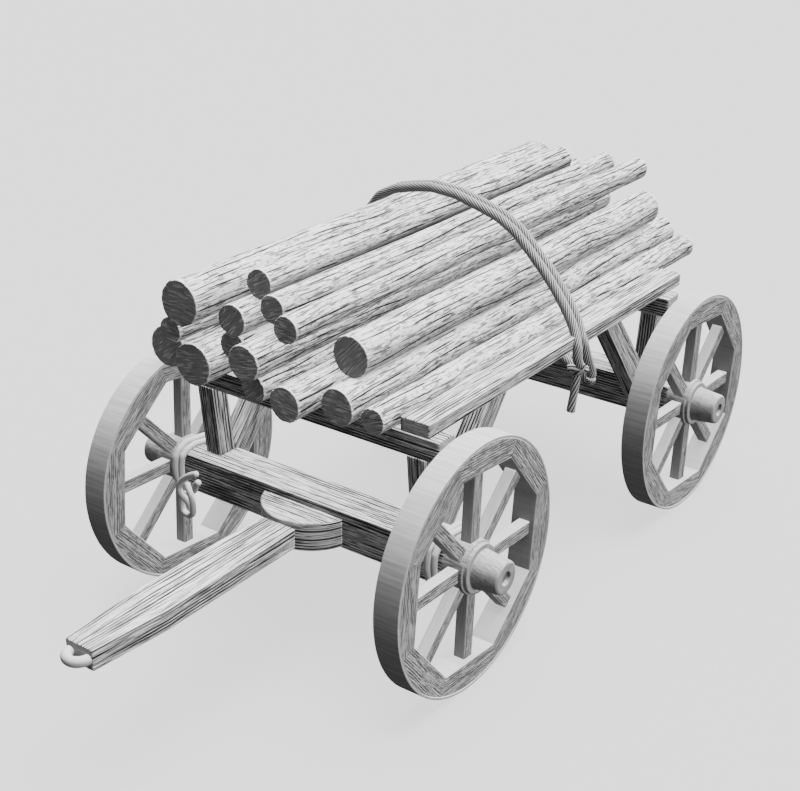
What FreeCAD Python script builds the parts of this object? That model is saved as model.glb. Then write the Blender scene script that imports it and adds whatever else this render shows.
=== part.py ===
import FreeCAD, Part
import os
import math
import Sketcher
from FreeCAD import Vector, Rotation, Placement

# Four-wheeled timber cart with its load: two fixed axle beams on wooden
# wheels, V-braced bolsters, side rails, a roped stack of round logs, and a
# drawbar that swings sideways in a half-round block on the front beam.
# Millimetres, +Z up, ground at z = 0, the origin at the bottom centre of the
# whole cart's box. The drawbar points along -Y, which is the front; "right"
# is +X, as seen by someone facing the front of the cart.
# Lengths along Y are counted from the front axle.

os.makedirs("parts", exist_ok=True)
doc = FreeCAD.newDocument("timber_cart")
sheet = doc.addObject("Spreadsheet::Sheet", "dims")


# ---------------------------------------------------------------- quantities
class Quantity:
    """A number that also carries the spreadsheet expression behind it."""

    def __init__(self, value, text=None):
        self.value = float(value)
        self.text = text if text is not None else "%.6f" % self.value

    def __add__(self, other):
        other = quantity(other)
        return Quantity(self.value + other.value, "(%s + %s)" % (self.text, other.text))

    def __sub__(self, other):
        other = quantity(other)
        return Quantity(self.value - other.value, "(%s - %s)" % (self.text, other.text))

    def __mul__(self, other):
        other = quantity(other)
        return Quantity(self.value * other.value, "(%s * %s)" % (self.text, other.text))

    def __truediv__(self, other):
        other = quantity(other)
        return Quantity(self.value / other.value, "(%s / %s)" % (self.text, other.text))

    def __neg__(self):
        return Quantity(-self.value, "(0 - %s)" % self.text)


def quantity(number):
    return number if isinstance(number, Quantity) else Quantity(number)


aliases = []


def dim(alias, value):
    """Add one driving dimension to the sheet."""
    aliases.append(alias)
    row = len(aliases)
    sheet.set("A%d" % row, alias)
    sheet.set("B%d" % row, "%.4f" % value)
    sheet.setAlias("B%d" % row, alias)
    return Quantity(value, "dims." + alias)


# -------------------------------------------------------- driving dimensions
# wheels: rim and spokes
wheel_radius = dim("wheel_radius", 500.0)
tread_width = dim("tread_width", 105.0)
track_half = dim("track_half", 700.5)
wheelbase = dim("wheelbase", 1783.0)
tyre_thick = dim("tyre_thick", 10.0)
facet_inradius = dim("facet_inradius", 384.0)
spoke_thick = dim("spoke_thick", 54.0)
spoke_wide = dim("spoke_wide", 48.0)
spoke_shift = dim("spoke_shift", 6.0)
tenon_thick = dim("tenon_thick", 24.0)
tenon_wide = dim("tenon_wide", 34.0)
tenon_reach = dim("tenon_reach", 432.0)
spoke_root = dim("spoke_root", 76.0)
saw_gap = dim("saw_gap", 0.5)
joint_gap = dim("joint_gap", 0.05)
# wheels: nave, bush and axle arm, measured from the middle of the tread
nave_drum_radius = dim("nave_drum_radius", 105.0)
nave_drum_half = dim("nave_drum_half", 45.0)
nave_ring_radius = dim("nave_ring_radius", 97.0)
nave_back = dim("nave_back", 48.0)
nave_ring_out = dim("nave_ring_out", 62.0)
nose_root_radius = dim("nose_root_radius", 76.0)
nose_tip_radius = dim("nose_tip_radius", 66.0)
nose_chamfer = dim("nose_chamfer", 6.0)
nave_front = dim("nave_front", 170.0)
nave_bore = dim("nave_bore", 26.0)
bush_inner = dim("bush_inner", 20.0)
bush_front = dim("bush_front", 140.0)
arm_radius = dim("arm_radius", 19.94)
arm_tang = dim("arm_tang", 160.0)
arm_end = dim("arm_end", 144.0)
nut_radius = dim("nut_radius", 24.0)
nut_thick = dim("nut_thick", 14.0)
nut_gap = dim("nut_gap", 1.0)
# degrees about the axle
wheel_turn = dim("wheel_turn", -2.4)
felloe_turn = dim("felloe_turn", -2.4)

# axle beams and bolsters
beam_half = dim("beam_half", 651.0)
beam_depth = dim("beam_depth", 168.0)
beam_low = dim("beam_low", 422.5)
beam_top = dim("beam_top", 580.0)
edge_ease = dim("edge_ease", 3.0)
bolster_half = dim("bolster_half", 599.0)
bolster_depth = dim("bolster_depth", 105.0)
bolster_low = dim("bolster_low", 888.5)
bolster_top = dim("bolster_top", 977.5)

# uprights and braces; Y sizes are for the front axle and mirrored at the rear
strut_wide = dim("strut_wide", 80.0)
strut_right = dim("strut_right", 499.0)
strut_left = dim("strut_left", -515.0)
strut_foot_front = dim("strut_foot_front", -17.0)
strut_foot_back = dim("strut_foot_back", 66.0)
strut_head_front = dim("strut_head_front", -52.5)
strut_head_back = dim("strut_head_back", 29.5)
strut_gap = dim("strut_gap", 2.0)
brace_foot_high = dim("brace_foot_high", 605.0)
brace_low = dim("brace_low", 452.0)
brace_head_near = dim("brace_head_near", 380.0)
brace_head_far = dim("brace_head_far", 505.0)

# rails
rail_front = dim("rail_front", -52.5)
rail_rear = dim("rail_rear", 1931.0)
rail_outer = dim("rail_outer", 556.5)
rail_inner = dim("rail_inner", 430.0)
rail_top = dim("rail_top", 1036.0)
chock_top = dim("chock_top", 1016.0)
chock_foot_outer = dim("chock_foot_outer", -549.0)
chock_foot_inner = dim("chock_foot_inner", -466.0)
chock_head_outer = dim("chock_head_outer", -520.0)
chock_head_inner = dim("chock_head_inner", -494.0)

# drawbar block
block_radius = dim("block_radius", 201.5)
block_centre = dim("block_centre", -20.5)
block_low = dim("block_low", 429.0)
block_top = dim("block_top", 547.5)
pivot_y = dim("pivot_y", -130.0)
slot_low = dim("slot_low", 475.0)
slot_high = dim("slot_high", 513.0)
slot_back = dim("slot_back", -97.0)
slot_half = dim("slot_half", 34.0)
slot_mouth = dim("slot_mouth", 68.0)
slot_mouth_y = dim("slot_mouth_y", -232.0)

# drawbar and king pin
tongue_rear = dim("tongue_rear", -229.0)
tongue_knee = dim("tongue_knee", -911.5)
tongue_front = dim("tongue_front", -1233.5)
tongue_rear_half = dim("tongue_rear_half", 83.5)
tongue_knee_half = dim("tongue_knee_half", 89.0)
tongue_front_half = dim("tongue_front_half", 62.5)
tongue_low = dim("tongue_low", 452.5)
tongue_top = dim("tongue_top", 535.0)
tongue_ease = dim("tongue_ease", 4.0)
tail_half = dim("tail_half", 30.0)
tail_low = dim("tail_low", 476.0)
tail_high = dim("tail_high", 512.0)
tail_overlap = dim("tail_overlap", 20.0)
pin_radius = dim("pin_radius", 12.0)
pin_fit = dim("pin_fit", 12.07)
pin_head_radius = dim("pin_head_radius", 22.0)
pin_head_thick = dim("pin_head_thick", 8.0)
pin_top = dim("pin_top", 530.0)

# towing eye
eye_mean = dim("eye_mean", 42.5)
eye_bar = dim("eye_bar", 19.0)
eye_leg = dim("eye_leg", 12.0)
eye_leg_len = dim("eye_leg_len", 80.0)
eye_height = dim("eye_height", 494.0)

# load rope
rope_radius = dim("rope_radius", 21.0)
rope_first = dim("rope_first", 1030.0)
rope_second = dim("rope_second", 1075.0)
rope_slack = dim("rope_slack", 790.0)
rope_snug = dim("rope_snug", 908.0)
tie_x = dim("tie_x", 575.0)
tail_len = dim("tail_len", 156.0)
tail_x = dim("tail_x", 568.0)
tail_y = dim("tail_y", 989.0)
tail_z = dim("tail_z", 829.0)

# axle lashings
cord_radius = dim("cord_radius", 13.0)
cord_outer_x = dim("cord_outer_x", -636.0)
cord_inner_x = dim("cord_inner_x", -604.0)
bight_low = dim("bight_low", 318.0)
bight_high = dim("bight_high", 452.0)
bight_half = dim("bight_half", 36.0)
bight_x = dim("bight_x", -571.0)

front_axle_y = dim("front_axle_y", -565.0)
doc.recompute()

# --------------------------------------------------------- modelling helpers
X_AXIS = Vector(1, 0, 0)
Y_AXIS = Vector(0, 1, 0)
Z_AXIS = Vector(0, 0, 1)
BORE_OVERRUN = 10  # how far a blind bore's cut runs out past the open end

pieces = []


def bind(obj, prop, size):
    obj.setExpression(prop, quantity(size).text)


def piece(label, obj, x=0, y=0, z=0, rotation=Rotation()):
    """Seat a finished piece, y counted from the front axle, and list it for export."""
    y = front_axle_y + y
    obj.Placement = Placement(Vector(quantity(x).value, y.value, quantity(z).value), rotation)
    for axis, position in (("x", x), ("y", y), ("z", z)):
        if isinstance(position, Quantity):
            bind(obj, "Placement.Base." + axis, position)
    obj.Label = label
    pieces.append((label, obj))


def primitive(kind, name, **sizes):
    """Add a Part primitive; sizes that come from the sheet stay bound to it."""
    obj = doc.addObject(kind, name)
    for prop, size in sizes.items():
        if isinstance(size, Quantity):
            setattr(obj, prop, size.value)
            bind(obj, prop, size)
        else:
            setattr(obj, prop, size)
    return obj


def x_cylinder(name, radius, length, start):
    """Cylinder along X, beginning at x = start."""
    cylinder = primitive("Part::Cylinder", name, Radius=radius, Height=length)
    cylinder.Placement = Placement(Vector(start.value, 0, 0), Rotation(Y_AXIS, 90))
    bind(cylinder, "Placement.Base.x", start)
    return cylinder


def disc(name, radius, width):
    return x_cylinder(name, radius, width, -(width / 2))


def fuse(name, items):
    joined = doc.addObject("Part::MultiFuse", name)
    joined.Shapes = items
    return joined


def cut(name, base, tool):
    result = doc.addObject("Part::Cut", name)
    result.Base = base
    result.Tool = tool
    return result


def new_body(name):
    return doc.addObject("PartDesign::Body", name)


def sketch(body, role, name, offset=None):
    """Sketch on an origin plane of the body, or offset along its normal."""
    outline = body.newObject("Sketcher::SketchObject", name)
    plane = [f for f in body.Origin.OriginFeatures if f.Role == role][0]
    outline.AttachmentSupport = [(plane, "")]
    outline.MapMode = "FlatFace"
    if offset is not None:
        outline.AttachmentOffset = Placement(Vector(0, 0, offset.value), Rotation())
        bind(outline, "AttachmentOffset.Base.z", offset)
    return outline


def constrain(outline, size, *reference):
    """Add a dimensional constraint, bound to the sheet where size comes from it."""
    index = outline.addConstraint(Sketcher.Constraint(*reference, size.value))
    if "dims." in size.text:
        outline.setExpression("Constraints[%d]" % index, size.text)


def hold(outline, geometry, point, across, up):
    """Pin one sketch point to its two coordinates."""
    for kind, size, axis in (("DistanceX", quantity(across), -2),
                             ("DistanceY", quantity(up), -1)):
        if abs(size.value) < 1e-9:
            outline.addConstraint(
                Sketcher.Constraint("PointOnObject", geometry, point, axis))
        elif size.value > 0:
            constrain(outline, size, kind, -1, 1, geometry, point)
        else:
            constrain(outline, -size, kind, geometry, point, -1, 1)


def polygon(outline, points):
    count = len(points)
    corners = [Vector(quantity(u).value, quantity(v).value, 0) for u, v in points]
    for i in range(count):
        outline.addGeometry(Part.LineSegment(corners[i], corners[(i + 1) % count]), False)
    for i in range(count):
        outline.addConstraint(Sketcher.Constraint("Coincident", i, 2, (i + 1) % count, 1))
    for i in range(count):
        hold(outline, i, 1, points[i][0], points[i][1])


def rectangle(outline, half_width, half_height):
    polygon(outline, rectangle_points(half_width, half_height))


def rectangle_points(half_width, half_height):
    return [(-half_width, -half_height), (half_width, -half_height),
            (half_width, half_height), (-half_width, half_height)]


def circle(outline, across, up, radius):
    centre = Vector(quantity(across).value, quantity(up).value, 0)
    index = outline.addGeometry(Part.Circle(centre, Z_AXIS, radius.value), False)
    constrain(outline, radius, "Radius", index)
    hold(outline, index, 3, across, up)


def arc(outline, centre_y, radius, start, end):
    """Arc centred on the sketch's vertical axis, angles in radians."""
    whole = Part.Circle(Vector(0, centre_y.value, 0), Z_AXIS, radius.value)
    return outline.addGeometry(Part.ArcOfCircle(whole, start, end), False)


def pad(body, outline, length, name, symmetric=False, reverse=False, kind="PartDesign::Pad"):
    feature = body.newObject(kind, name)
    feature.Profile = outline
    feature.Length = length.value
    bind(feature, "Length", length)
    if symmetric:
        # the property's name depends on the FreeCAD release
        if hasattr(feature, "SideType"):
            feature.SideType = "Symmetric"
        else:
            feature.Midplane = True
    feature.Reversed = reverse
    outline.Visibility = False
    return feature


def pocket(body, outline, length, name, reverse=True):
    return pad(body, outline, length, name, reverse=reverse, kind="PartDesign::Pocket")


def revolve(body, profile, axis, angle, name):
    feature = body.newObject("PartDesign::Revolution", name)
    feature.Profile = profile
    feature.ReferenceAxis = (profile, [axis])
    feature.Angle = angle
    profile.Visibility = False
    return feature


def ease(body, base, size, name):
    """Take the sharp corner off every edge of a timber."""
    doc.recompute()
    chamfer = body.newObject("PartDesign::Chamfer", name)
    chamfer.Base = (base, ["Edge%d" % (i + 1) for i in range(len(base.Shape.Edges))])
    chamfer.Size = size.value
    bind(chamfer, "Size", size)


def timber(label, role, points, length, ease_size=None):
    """Extrude an outline symmetrically across its own origin plane."""
    body = new_body(label)
    outline = sketch(body, role, label + "_outline")
    polygon(outline, points)
    base = pad(body, outline, length, label + "_pad", symmetric=True)
    if ease_size is not None:
        ease(body, base, ease_size, label + "_ease")
    return body


# -------------------------------------------------------------------- wheels
# Each wheel part is modelled about the X axis, its outer side toward +X.
TOOL_WIDTH = tread_width + 20  # cutting tools stand 10 clear of each side
SHOULDER_OVERRUN = 15          # spoke stock left past the facets for trimming
SAW_LENGTH = 1100


def through_bars(prefix, thick, wide, reach):
    """Four bars through the centre, making eight arms across the YZ plane,
    set off the middle of the tread by spoke_shift."""
    bars = []
    for k in range(4):
        arm_pair = primitive("Part::Box", "%s_bar%d" % (prefix, k),
                             Length=wide, Width=thick, Height=reach * 2)
        rotation = Rotation(X_AXIS, 45.0 * k)
        corner = Vector(spoke_shift.value - wide.value / 2, -thick.value / 2, -reach.value)
        arm_pair.Placement = Placement(rotation.multVec(corner), rotation)
        bars.append(arm_pair)
    return bars


def octagon(name, inradius, skew):
    """Eight-sided prism filling the felloes' opening, turned by skew about the axle."""
    prism = primitive("Part::Prism", name, Polygon=8,
                      Circumradius=inradius / math.cos(math.pi / 8), Height=TOOL_WIDTH)
    rotation = Rotation(X_AXIS, skew).multiply(Rotation(Y_AXIS, 90))
    prism.Placement = Placement(Vector(-TOOL_WIDTH.value / 2, 0, 0),
                                rotation.multiply(Rotation(Z_AXIS, 22.5)))
    return prism


def tyre(tag):
    """Iron tyre."""
    body = new_body("tyre_" + tag)
    outline = sketch(body, "YZ_Plane", "tyre_outline_" + tag)
    circle(outline, 0, 0, wheel_radius)
    circle(outline, 0, 0, wheel_radius - tyre_thick)
    pad(body, outline, tread_width, "tyre_pad_" + tag, symmetric=True)
    return body


def felloes(tag, skew):
    """Eight felloes, flat inside, butted at the corners of the octagon."""
    rim = disc("rim_" + tag, wheel_radius - tyre_thick, tread_width)
    opening = octagon("octagon_" + tag, facet_inradius, skew)
    saws = []
    for k in range(4):
        saw = primitive("Part::Box", "saw%d_%s" % (k, tag),
                        Length=TOOL_WIDTH, Width=saw_gap, Height=SAW_LENGTH)
        rotation = Rotation(X_AXIS, skew + 22.5 + 45.0 * k)
        corner = Vector(-TOOL_WIDTH.value / 2, -saw_gap.value / 2, -SAW_LENGTH / 2)
        saw.Placement = Placement(rotation.multVec(corner), rotation)
        saws.append(saw)
    tenons = through_bars("tenon_" + tag, tenon_thick, tenon_wide, tenon_reach)
    return cut("felloes_" + tag, rim, fuse("felloe_cuts_" + tag, [opening] + saws + tenons))


def spokes(tag, skew):
    """Eight spokes shouldered on the facets, with tenons into the felloes."""
    arms = doc.addObject("Part::Common", "shouldered_" + tag)
    arms.Base = fuse("spoke_star_" + tag,
                     through_bars("spoke_" + tag, spoke_thick, spoke_wide,
                                  facet_inradius + SHOULDER_OVERRUN))
    arms.Tool = octagon("shoulders_" + tag, facet_inradius - joint_gap, skew)
    tips = through_bars("tip_" + tag, tenon_thick - joint_gap, tenon_wide - joint_gap,
                        tenon_reach - joint_gap)
    core = disc("core_" + tag, spoke_root, TOOL_WIDTH)
    return cut("spokes_" + tag, fuse("spokes_tenoned_" + tag, [arms] + tips), core)


def nave(tag):
    """Turned nave with eight mortises and a long tapered nose."""
    body = new_body("nave_body_" + tag)
    profile = sketch(body, "XZ_Plane", "nave_profile_" + tag)
    # distance along the axle, radius
    polygon(profile, [
        (-nave_back, nave_bore),
        (-nave_back, nave_ring_radius),
        (-nave_drum_half, nave_ring_radius),
        (-nave_drum_half, nave_drum_radius),
        (nave_drum_half, nave_drum_radius),
        (nave_drum_half, nave_ring_radius),
        (nave_ring_out, nave_ring_radius),
        (nave_ring_out, nose_root_radius),
        (nave_front - nose_chamfer, nose_tip_radius),
        (nave_front, nose_tip_radius - nose_chamfer),
        (nave_front, nave_bore),
    ])
    revolve(body, profile, "H_Axis", 360, "nave_turn_" + tag)
    star = through_bars("mortise_" + tag, spoke_thick, spoke_wide, facet_inradius)
    # the mortises stop at the spoke roots
    core = disc("mortise_core_" + tag, spoke_root, TOOL_WIDTH)
    mortises = cut("mortises_" + tag, fuse("mortise_star_" + tag, star), core)
    return cut("nave_" + tag, body, mortises)


def bush(tag):
    """Iron bush lining the nave; the wheel turns on it."""
    body = new_body("bush_" + tag)
    outline = sketch(body, "YZ_Plane", "bush_outline_" + tag, offset=-nave_back)
    circle(outline, 0, 0, nave_bore)
    circle(outline, 0, 0, bush_inner)
    pad(body, outline, nave_back + bush_front, "bush_pad_" + tag)
    return body


def axle_arm(tag):
    """Iron arm driven into the beam end, with the nut that keeps the wheel on."""
    start = -(track_half - beam_half) - arm_tang
    body = new_body("arm_body_" + tag)
    outline = sketch(body, "YZ_Plane", "arm_outline_" + tag, offset=start)
    circle(outline, 0, 0, arm_radius)
    pad(body, outline, arm_end - start, "arm_pad_" + tag)
    nut = x_cylinder("nut_" + tag, nut_radius, nut_thick, bush_front + nut_gap)
    return fuse("axle_arm_" + tag, [body, nut])


def wheel(tag, side, y):
    """One wheel and its arm; side is +1 or -1, the nose points away from the cart."""
    skew = felloe_turn.value * side
    facing = Rotation(Z_AXIS, 0 if side > 0 else 180)
    rolled = Rotation(X_AXIS, wheel_turn.value).multiply(facing)
    for name, obj, rotation in (("tyre", tyre(tag), rolled),
                                ("felloes", felloes(tag, skew), rolled),
                                ("spokes", spokes(tag, skew), rolled),
                                ("nave", nave(tag), rolled),
                                ("bush", bush(tag), rolled),
                                ("axle_arm", axle_arm(tag), facing)):
        piece(name + "_" + tag, obj, track_half * side, y, wheel_radius, rotation)


AXLES = (("front", 0), ("rear", wheelbase))

for end, axle_y in AXLES:
    wheel(end + "_right", 1, axle_y)
    wheel(end + "_left", -1, axle_y)


# -------------------------------------------------- axle beams and bolsters
def axle_beam(label, y):
    """Squared beam, bored at both ends for the iron arms."""
    middle = (beam_top + beam_low) / 2
    body = new_body(label)
    section = sketch(body, "YZ_Plane", label + "_section")
    rectangle(section, beam_depth / 2, (beam_top - beam_low) / 2)
    base = pad(body, section, beam_half * 2, label + "_pad", symmetric=True)
    ease(body, base, edge_ease, label + "_ease")
    for sketch_end, hand, offset, reverse in (
            ("_bores", "right", beam_half - arm_tang, True),
            ("_bores2", "left", arm_tang - beam_half, False)):
        bore = sketch(body, "YZ_Plane", label + sketch_end, offset=offset)
        circle(bore, 0, wheel_radius - middle, arm_radius)
        pocket(body, bore, arm_tang + BORE_OVERRUN, label + "_bore_" + hand, reverse)
    piece(label, body, 0, y, middle)


def bolster(label, y):
    section = rectangle_points(bolster_depth / 2, (bolster_top - bolster_low) / 2)
    body = timber(label, "YZ_Plane", section, bolster_half * 2, edge_ease)
    piece(label, body, 0, y, (bolster_top + bolster_low) / 2)


for end, axle_y in AXLES:
    axle_beam("axle_beam_" + end, axle_y)
for end, axle_y in AXLES:
    bolster("bolster_" + end, axle_y)


# ------------------------------------------------------- uprights and braces
def struts(end, hand, x, y, flip):
    """Upright and long brace of one corner, a V that opens upward. The brace
    leans toward the middle of the cart; flip -1 mirrors the pair for the rear."""
    beam_face = beam_depth / 2
    brace_back = strut_foot_back + strut_gap
    upright_points = [(strut_foot_front, beam_top), (strut_foot_back, beam_top),
                      (strut_head_back, bolster_low), (strut_head_front, bolster_low)]
    brace_points = [(beam_face, brace_low), (brace_head_far, bolster_top),
                    (brace_head_near, bolster_top), (brace_back, brace_foot_high),
                    (brace_back, beam_top), (beam_face, beam_top)]
    corner = "_%s_%s" % (end, hand)
    members = []
    for name, points, ease_size in (("upright", upright_points, edge_ease),
                                    ("brace", brace_points, None)):
        points = [(along * flip, height) for along, height in points][::flip]
        members.append(timber(name + corner, "YZ_Plane", points, strut_wide, ease_size))
    # the two timbers stand apart and are kept as a pair
    pair = doc.addObject("Part::Compound", "struts" + corner)
    pair.Links = members
    piece("struts" + corner, pair, x, y)


for (end, axle_y), flip in zip(AXLES, (1, -1)):
    for hand, strut_x in (("right", strut_right), ("left", strut_left)):
        struts(end, hand, strut_x, axle_y, flip)


# -------------------------------------------------------------------- rails
rail_length = rail_rear - rail_front
rail_middle_y = (rail_rear + rail_front) / 2


def rail_right():
    section = rectangle_points((rail_outer - rail_inner) / 2, (rail_top - bolster_top) / 2)
    body = timber("rail_right", "XZ_Plane", section, rail_length, edge_ease)
    piece("rail_right", body, (rail_outer + rail_inner) / 2, rail_middle_y,
          (rail_top + bolster_top) / 2)


def rail_left():
    """Lower rail with a tapered section, drawn in place."""
    section = [(chock_foot_outer, bolster_top), (chock_foot_inner, bolster_top),
               (chock_head_inner, chock_top), (chock_head_outer, chock_top)]
    body = timber("rail_left", "XZ_Plane", section, rail_length)
    piece("rail_left", body, 0, rail_middle_y)


rail_right()
rail_left()


# ------------------------------------------------- drawbar block and king pin
def drawbar_block():
    """Half-round block on the front face of the front beam, slotted for the
    drawbar's tail."""
    body = new_body("drawbar_block")
    outline = sketch(body, "XY_Plane", "block_outline")
    face = beam_depth / 2
    rise = -face.value - block_centre.value
    half_chord = math.sqrt(block_radius.value ** 2 - rise ** 2)
    curve = arc(outline, block_centre, block_radius,
                math.atan2(rise, -half_chord) + 2 * math.pi,
                math.atan2(rise, half_chord) + 2 * math.pi)
    flat = outline.addGeometry(Part.LineSegment(Vector(half_chord, -face.value, 0),
                                                Vector(-half_chord, -face.value, 0)), False)
    outline.addConstraint(Sketcher.Constraint("Coincident", curve, 2, flat, 1))
    outline.addConstraint(Sketcher.Constraint("Coincident", flat, 2, curve, 1))
    outline.addConstraint(Sketcher.Constraint("Horizontal", flat))
    constrain(outline, block_radius, "Radius", curve)
    hold(outline, curve, 3, 0, block_centre)
    constrain(outline, face, "DistanceY", flat, 1, -1, 1)
    pad(body, outline, block_top - block_low, "block_pad")

    # the slot flares from the pin to its mouth so the drawbar can swing
    slot = sketch(body, "XY_Plane", "block_slot", offset=slot_low - block_low)
    polygon(slot, [(-slot_half, slot_back), (-slot_half, pivot_y),
                   (-slot_mouth, slot_mouth_y), (slot_mouth, slot_mouth_y),
                   (slot_half, pivot_y), (slot_half, slot_back)])
    pocket(body, slot, slot_high - slot_low, "block_slot_cut")

    hole = sketch(body, "XY_Plane", "block_pin_hole")
    circle(hole, 0, pivot_y, pin_radius)
    pocket(body, hole, pin_top - block_low, "block_pin_cut")
    piece("drawbar_block", body, z=block_low)


def king_pin():
    """Pin driven up from below, its head under the block."""
    shank = primitive("Part::Cylinder", "pin_shank",
                      Radius=pin_radius, Height=pin_top - block_low)
    head = primitive("Part::Cylinder", "pin_head",
                     Radius=pin_head_radius, Height=pin_head_thick)
    head.Placement = Placement(Vector(0, 0, -pin_head_thick.value), Rotation())
    bind(head, "Placement.Base.z", -pin_head_thick)
    piece("king_pin", fuse("king_pin", [shank, head]), 0, pivot_y, block_low)


drawbar_block()
king_pin()


# ---------------------------------------------------- drawbar and towing eye
def tail_outline(body):
    """Round-ended tail that pivots on the pin and laps into the drawbar."""
    outline = sketch(body, "XY_Plane", "drawbar_tail", offset=tail_low - tongue_low)
    root = tongue_rear - tail_overlap
    corners = [Vector(-tail_half.value, pivot_y.value, 0),
               Vector(-tail_half.value, root.value, 0),
               Vector(tail_half.value, root.value, 0),
               Vector(tail_half.value, pivot_y.value, 0)]
    arc(outline, pivot_y, tail_half, 0, math.pi)
    for i in range(3):
        outline.addGeometry(Part.LineSegment(corners[i], corners[i + 1]), False)
    for i in range(4):
        outline.addConstraint(Sketcher.Constraint("Coincident", i, 2, (i + 1) % 4, 1))
    outline.addConstraint(Sketcher.Constraint("Vertical", 1))
    outline.addConstraint(Sketcher.Constraint("Vertical", 3))
    outline.addConstraint(Sketcher.Constraint("Horizontal", 2))
    constrain(outline, tail_half, "Radius", 0)
    hold(outline, 0, 3, 0, pivot_y)
    constrain(outline, -root, "DistanceY", 1, 2, -1, 1)
    constrain(outline, -pivot_y, "DistanceY", 0, 1, -1, 1)
    constrain(outline, -pivot_y, "DistanceY", 0, 2, -1, 1)
    return outline


def drawbar():
    body = new_body("drawbar")
    outline = sketch(body, "XY_Plane", "drawbar_outline")
    polygon(outline, [(-tongue_rear_half, tongue_rear), (-tongue_knee_half, tongue_knee),
                      (-tongue_front_half, tongue_front), (tongue_front_half, tongue_front),
                      (tongue_knee_half, tongue_knee), (tongue_rear_half, tongue_rear)])
    base = pad(body, outline, tongue_top - tongue_low, "drawbar_pad")
    ease(body, base, tongue_ease, "drawbar_ease")
    pad(body, tail_outline(body), tail_high - tail_low, "drawbar_tail_pad")

    hole = sketch(body, "XY_Plane", "drawbar_pin_hole")
    circle(hole, 0, pivot_y, pin_fit)
    pocket(body, hole, tongue_top - tongue_low, "drawbar_pin_cut")

    # two bores in the front end take the legs of the towing eye
    bores = sketch(body, "XZ_Plane", "drawbar_eye_holes", offset=-tongue_front - eye_leg_len)
    circle(bores, -eye_mean, eye_height - tongue_low, eye_leg)
    circle(bores, eye_mean, eye_height - tongue_low, eye_leg)
    pocket(body, bores, eye_leg_len + BORE_OVERRUN, "drawbar_eye_cut")
    piece("drawbar", body, z=tongue_low)


def tow_eye():
    """Iron half-ring with two straight legs."""
    body = new_body("tow_eye")
    section = sketch(body, "XZ_Plane", "eye_section")
    circle(section, eye_mean, 0, eye_bar)
    bend = revolve(body, section, "V_Axis", 180, "eye_bend")
    legs = sketch(body, "XZ_Plane", "eye_legs")
    circle(legs, eye_mean, 0, eye_leg)
    circle(legs, -eye_mean, 0, eye_leg)
    doc.recompute()
    # the bend must fall on -Y and the legs on +Y
    if bend.Shape.BoundBox.YMax > 1.0:
        bend.Reversed = True
    pad(body, legs, eye_leg_len, "eye_leg_pad", reverse=True)
    piece("tow_eye", body, 0, tongue_front, eye_height)


drawbar()
tow_eye()

# ---------------------------------------------------------------------- logs
# name: x, z, radius of the front end, front y, rear y
LOGS = {
    "log_a": (-436.0, 1318.0, 91.0, -252.0, 2300.0),
    "log_b": (-175.0, 1407.0, 60.0, -100.0, 2075.0),
    "log_c": (-74.0, 1348.0, 55.5, -148.0, 2325.0),
    "log_d": (52.5, 1322.5, 54.0, -225.0, 2425.0),
    "log_e": (-229.0, 1282.0, 64.5, -195.0, 2330.0),
    "log_f": (-262.0, 1160.5, 59.0, -160.0, 2200.0),
    "log_g": (-592.0, 1078.0, 86.0, -168.0, 2290.0),
    "log_h": (-417.0, 1066.0, 87.5, -218.0, 2250.0),
    "log_i": (-121.5, 1164.0, 72.0, -265.0, 2380.0),
    "log_j": (-141.5, 1034.5, 56.5, -192.0, 2310.0),
    "log_k": (58.5, 1047.5, 69.5, -253.0, 2340.0),
    "log_l": (203.0, 1204.0, 81.0, -52.0, 2230.0),
    "log_m": (228.0, 1051.0, 73.0, -164.0, 2385.0),
    "log_n": (375.0, 1030.5, 52.5, -147.0, 2310.0),
    "log_p": (-270.0, 1037.5, 58.5, 60.0, 2200.0),
    "log_s": (-505.0, 1188.5, 53.0, -235.0, 2260.0),
}
LOG_TAPER = 0.98  # rear radius over front radius


def log(name, x, z, radius, front, rear):
    log_x = dim(name + "_x", x)
    log_z = dim(name + "_z", z)
    log_radius = dim(name + "_radius", radius)
    log_front = dim(name + "_front", front)
    log_rear = dim(name + "_rear", rear)
    cone = primitive("Part::Cone", name, Radius1=log_radius,
                     Radius2=log_radius * LOG_TAPER, Height=log_rear - log_front)
    piece(name, cone, log_x, log_front, log_z, Rotation(X_AXIS, -90))


for name, measures in LOGS.items():
    log(name, *measures)


# --------------------------------------------------- load rope, knot and end
ROPE_CLEAR = 1.0              # air between the rope and what it passes round
RAIL_CORNER_ROUND = 8.0       # bend radius assumed at the right rail's top edge
RAIL_CORNER_CLEAR = 2.5       # further air at that edge
TIE_INSET = 22.0              # lowest bend's centre, inward from tie_x
TIE_BEND = 30.0               # radius of the lowest bend
LEFT_BEND = (-549.0, 981.5, 27.0)  # x, z, radius beside the left rail's foot
KNOT_CENTRE = Vector(566, 1014, 898)
KNOT_RADII = {"Radius1": 30, "Radius2": 50, "Radius3": 52}  # along Z, X, Y
ROPE_END_THINNING = 0.86      # rope end's radius over the rope's
ROPE_END_LEAN = 14            # degrees off straight down


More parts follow.
